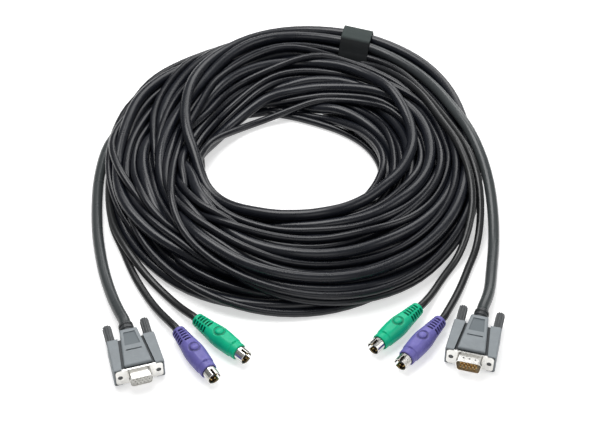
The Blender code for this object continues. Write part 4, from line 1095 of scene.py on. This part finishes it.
class CABLE_OT_stage(CableOperator, bpy.types.Operator):
    """Sets the camera, the pale floor and the soft lights"""
    bl_idname = "cable.stage"
    bl_label = "Stage and camera"

    def execute(self, context):
        studio = context.scene.cable_studio
        camera = bpy.data.cameras.new("Camera")
        camera.sensor_width = 36.0
        camera.lens = CAMERA_LENS
        camera.shift_x, camera.shift_y = CAMERA_SHIFT
        camera.clip_start = 0.01
        eye = bpy.data.objects.new("Camera", camera)
        context.scene.collection.objects.link(eye)
        out, up = math.cos(studio.elevation), math.sin(studio.elevation)
        eye.location = AIM + Vector((0.0, -studio.distance * out, studio.distance * up))
        eye.rotation_euler = (math.pi / 2 - studio.elevation, 0.0, 0.0)
        context.scene.camera = eye
        self.lay_floor(studio)
        self.hang_lights(studio)
        world = bpy.data.worlds.new("Studio")
        world.use_nodes = True
        tree = world.node_tree
        background = tree.nodes["Background"]
        background.inputs["Color"].default_value = (1.0, 1.0, 1.0, 1.0)
        rays = tree.nodes.new("ShaderNodeLightPath")
        strength = node(tree, "ShaderNodeMapRange", Value=rays.outputs["Is Camera Ray"], To_Min=WORLD_STRENGTH,
                        To_Max=1.0)
        tree.links.new(strength.outputs[0], background.inputs["Strength"])
        context.scene.world = world
        context.scene.view_settings.view_transform = "Standard"
        return {"FINISHED"}

    def lay_floor(self, studio):
        shape = bmesh.new()
        corners = [shape.verts.new((x * FLOOR_REACH, y * FLOOR_REACH, 0.0)) for x, y in
                   ((-1, -1), (1, -1), (1, 1), (-1, 1))]
        shape.faces.new(corners)
        mesh = as_mesh(shape, "floor")
        floor = bpy.data.objects.new("floor", mesh)
        bpy.context.scene.collection.objects.link(floor)
        mesh.materials.append(floor_material(studio.floor))

    def hang_lights(self, studio):
        for name, place, size, power in LAMPS:
            lamp = bpy.data.lights.new(name, "AREA")
            lamp.size = size
            lamp.energy = getattr(studio, power)
            hung = bpy.data.objects.new(name, lamp)
            hung.location = place
            hung.rotation_euler = (Vector(place) - AIM).to_track_quat("Z", "Y").to_euler()
            bpy.context.scene.collection.objects.link(hung)


def floor_material(colour):
    """A pale matt floor that the camera sees as white where no shadow falls."""
    made = bpy.data.materials.new("Floor")
    made.use_nodes = True
    tree = made.node_tree
    shader = tree.nodes["Principled BSDF"]
    shader.inputs["Base Color"].default_value = (*colour, 1.0)
    shader.inputs["Roughness"].default_value = 0.9
    shader.inputs["Specular IOR Level"].default_value = 0.1
    shader.inputs["Emission Color"].default_value = (1.0, 1.0, 1.0, 1.0)
    rays = tree.nodes.new("ShaderNodeLightPath")
    seen = maths(tree, "MAXIMUM", rays.outputs["Is Camera Ray"], rays.outputs["Is Glossy Ray"])
    seen = maths(tree, "MAXIMUM", seen, rays.outputs["Is Transmission Ray"])
    tree.links.new(maths(tree, "MULTIPLY", seen, FLOOR_GLOW), shader.inputs["Emission Strength"])
    return made


class CABLE_OT_cords(CableOperator, bpy.types.Operator):
    """Winds the three cords into their coil"""
    bl_idname = "cable.cords"
    bl_label = "Wind the cords"

    def execute(self, context):
        sizes = context.scene.cable_sizes
        colours = context.scene.cable_colours
        lines, worst = wind_coil(sizes)
        print(f"in one plane, settled strands overlap by {worst:.2f} mm at most")
        for cord in CORDS:
            thick = sizes.video if cord == "video" else sizes.data
            line = lines[cord]
            length = sum((b - a).length for a, b in zip(line, line[1:]))
            plug = list(RIGHT_PLUG_NODES[cord])
            if cord == "video":
                jacket, lit_tail = colours.video_jacket, colours.lit_tail_jacket
            else:
                jacket, lit_tail = colours.data_jacket, colours.lit_data_tail
                plug.append(bpy.data.objects[cord + "_right_moulding"])
            finish = jacket_finish(cord.capitalize() + " jacket", jacket, lit_tail, length)
            made = grown(cord + "_cord", line_mesh(cord, line), cord_tree(), Radius=thick / 2, Sides=sizes.sides,
                         Material=finish)
            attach(made, "cable")
            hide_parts(*CORD_NODES[cord])
        return {"FINISHED"}


class CABLE_OT_band(CableOperator, bpy.types.Operator):
    """Ties the band round the four cords at the back"""
    bl_idname = "cable.band"
    bl_label = "Tie the band"

    def execute(self, context):
        sizes = context.scene.cable_sizes
        colours = context.scene.cable_colours
        finish = band_finish(colours.band, colours.band_sheen)
        piece("tie_band", band_mesh(cord_radii(sizes)), finish, "cable", "band")
        return {"FINISHED"}


class CABLE_OT_round_plugs(CableOperator, bpy.types.Operator):
    """Moulds the round plugs' bodies and finishes their metal"""
    bl_idname = "cable.round_plugs"
    bl_label = "Mould the round plugs"

    def execute(self, context):
        colours = context.scene.cable_colours
        finishes = {"keyboard": body_finish("Keyboard moulding", colours.keyboard_plug),
                    "mouse": body_finish("Mouse moulding", colours.mouse_plug)}
        for plug in ROUND_PLUGS:
            piece(plug + "_moulding", body_mesh(plug), finishes[plug.split("_")[0]], "cable", plug + "_body")
        finish_nodes(matching("_shield"), moulded("Shield nickel", SHIELD_NICKEL, 0.22, metallic=1.0))
        finish_nodes([n for n in NODES if "_pin_" in n], moulded("Gold plate", GOLD_PLATE, 0.3, metallic=1.0))
        finish_nodes([plug + "_insulator" for plug in ROUND_PLUGS], moulded("Dark insulator", DARK_INSULATOR, 0.5))
        return {"FINISHED"}


class CABLE_OT_video_plugs(CableOperator, bpy.types.Operator):
    """Finishes the video plugs' hoods, collars, thumbscrews and metal"""
    bl_idname = "cable.video_plugs"
    bl_label = "Finish the video plugs"

    def execute(self, context):
        colours = context.scene.cable_colours
        for plug in ("video_female", "video_male"):
            finish_nodes([plug + "_hood"], hood_finish(plug, colours.hood, colours.window, colours.channel))
        finish_nodes([n for n in NODES if "_thumbscrew_" in n], moulded("Screw plastic", colours.screw, 0.4))
        finish_nodes(matching("_collar"), moulded("Collar rubber", colours.collar, 0.4))
        finish_nodes(["video_female_shell"], moulded("Shell nickel", NICKEL, 0.3, metallic=1.0))
        finish_nodes(["video_male_shell"], shell_finish("video_male"))
        finish_nodes(["video_female_insulator"], moulded("Pale insulator", PALE_INSULATOR, 0.5, marks=0.0))
        finish_nodes(["video_male_insulator"], pin_finish("video_male"))
        return {"FINISHED"}


class CABLE_PT_panel(bpy.types.Panel):
    """Lists the cable's pieces and settings"""
    bl_idname = "CABLE_PT_panel"
    bl_label = "Coiled cable"
    bl_space_type = "VIEW_3D"
    bl_region_type = "UI"
    bl_category = "Cable"

    def draw(self, context):
        scene = context.scene
        for settings in (scene.cable_sizes, scene.cable_colours, scene.cable_studio):
            box = self.layout.box()
            for name in settings.__annotations__:
                box.prop(settings, name)
        for operator in OPERATORS:
            self.layout.operator(operator.bl_idname)


OPERATORS = (CABLE_OT_stage, CABLE_OT_cords, CABLE_OT_band, CABLE_OT_round_plugs, CABLE_OT_video_plugs)
SETTINGS = {"cable_sizes": CordSizes, "cable_colours": CableColours, "cable_studio": StudioSettings}


def register():
    for kind in (*SETTINGS.values(), *OPERATORS, CABLE_PT_panel):
        bpy.utils.register_class(kind)
    for name, kind in SETTINGS.items():
        setattr(bpy.types.Scene, name, PointerProperty(type=kind))


def unregister():
    for name in SETTINGS:
        delattr(bpy.types.Scene, name)
    for kind in (CABLE_PT_panel, *OPERATORS[::-1], *SETTINGS.values()):
        bpy.utils.unregister_class(kind)


def main():
    register()
    cable = bpy.ops.cable
    for step in (cable.stage, cable.round_plugs, cable.cords, cable.band, cable.video_plugs):
        step()


if __name__ == "__main__":
    main()
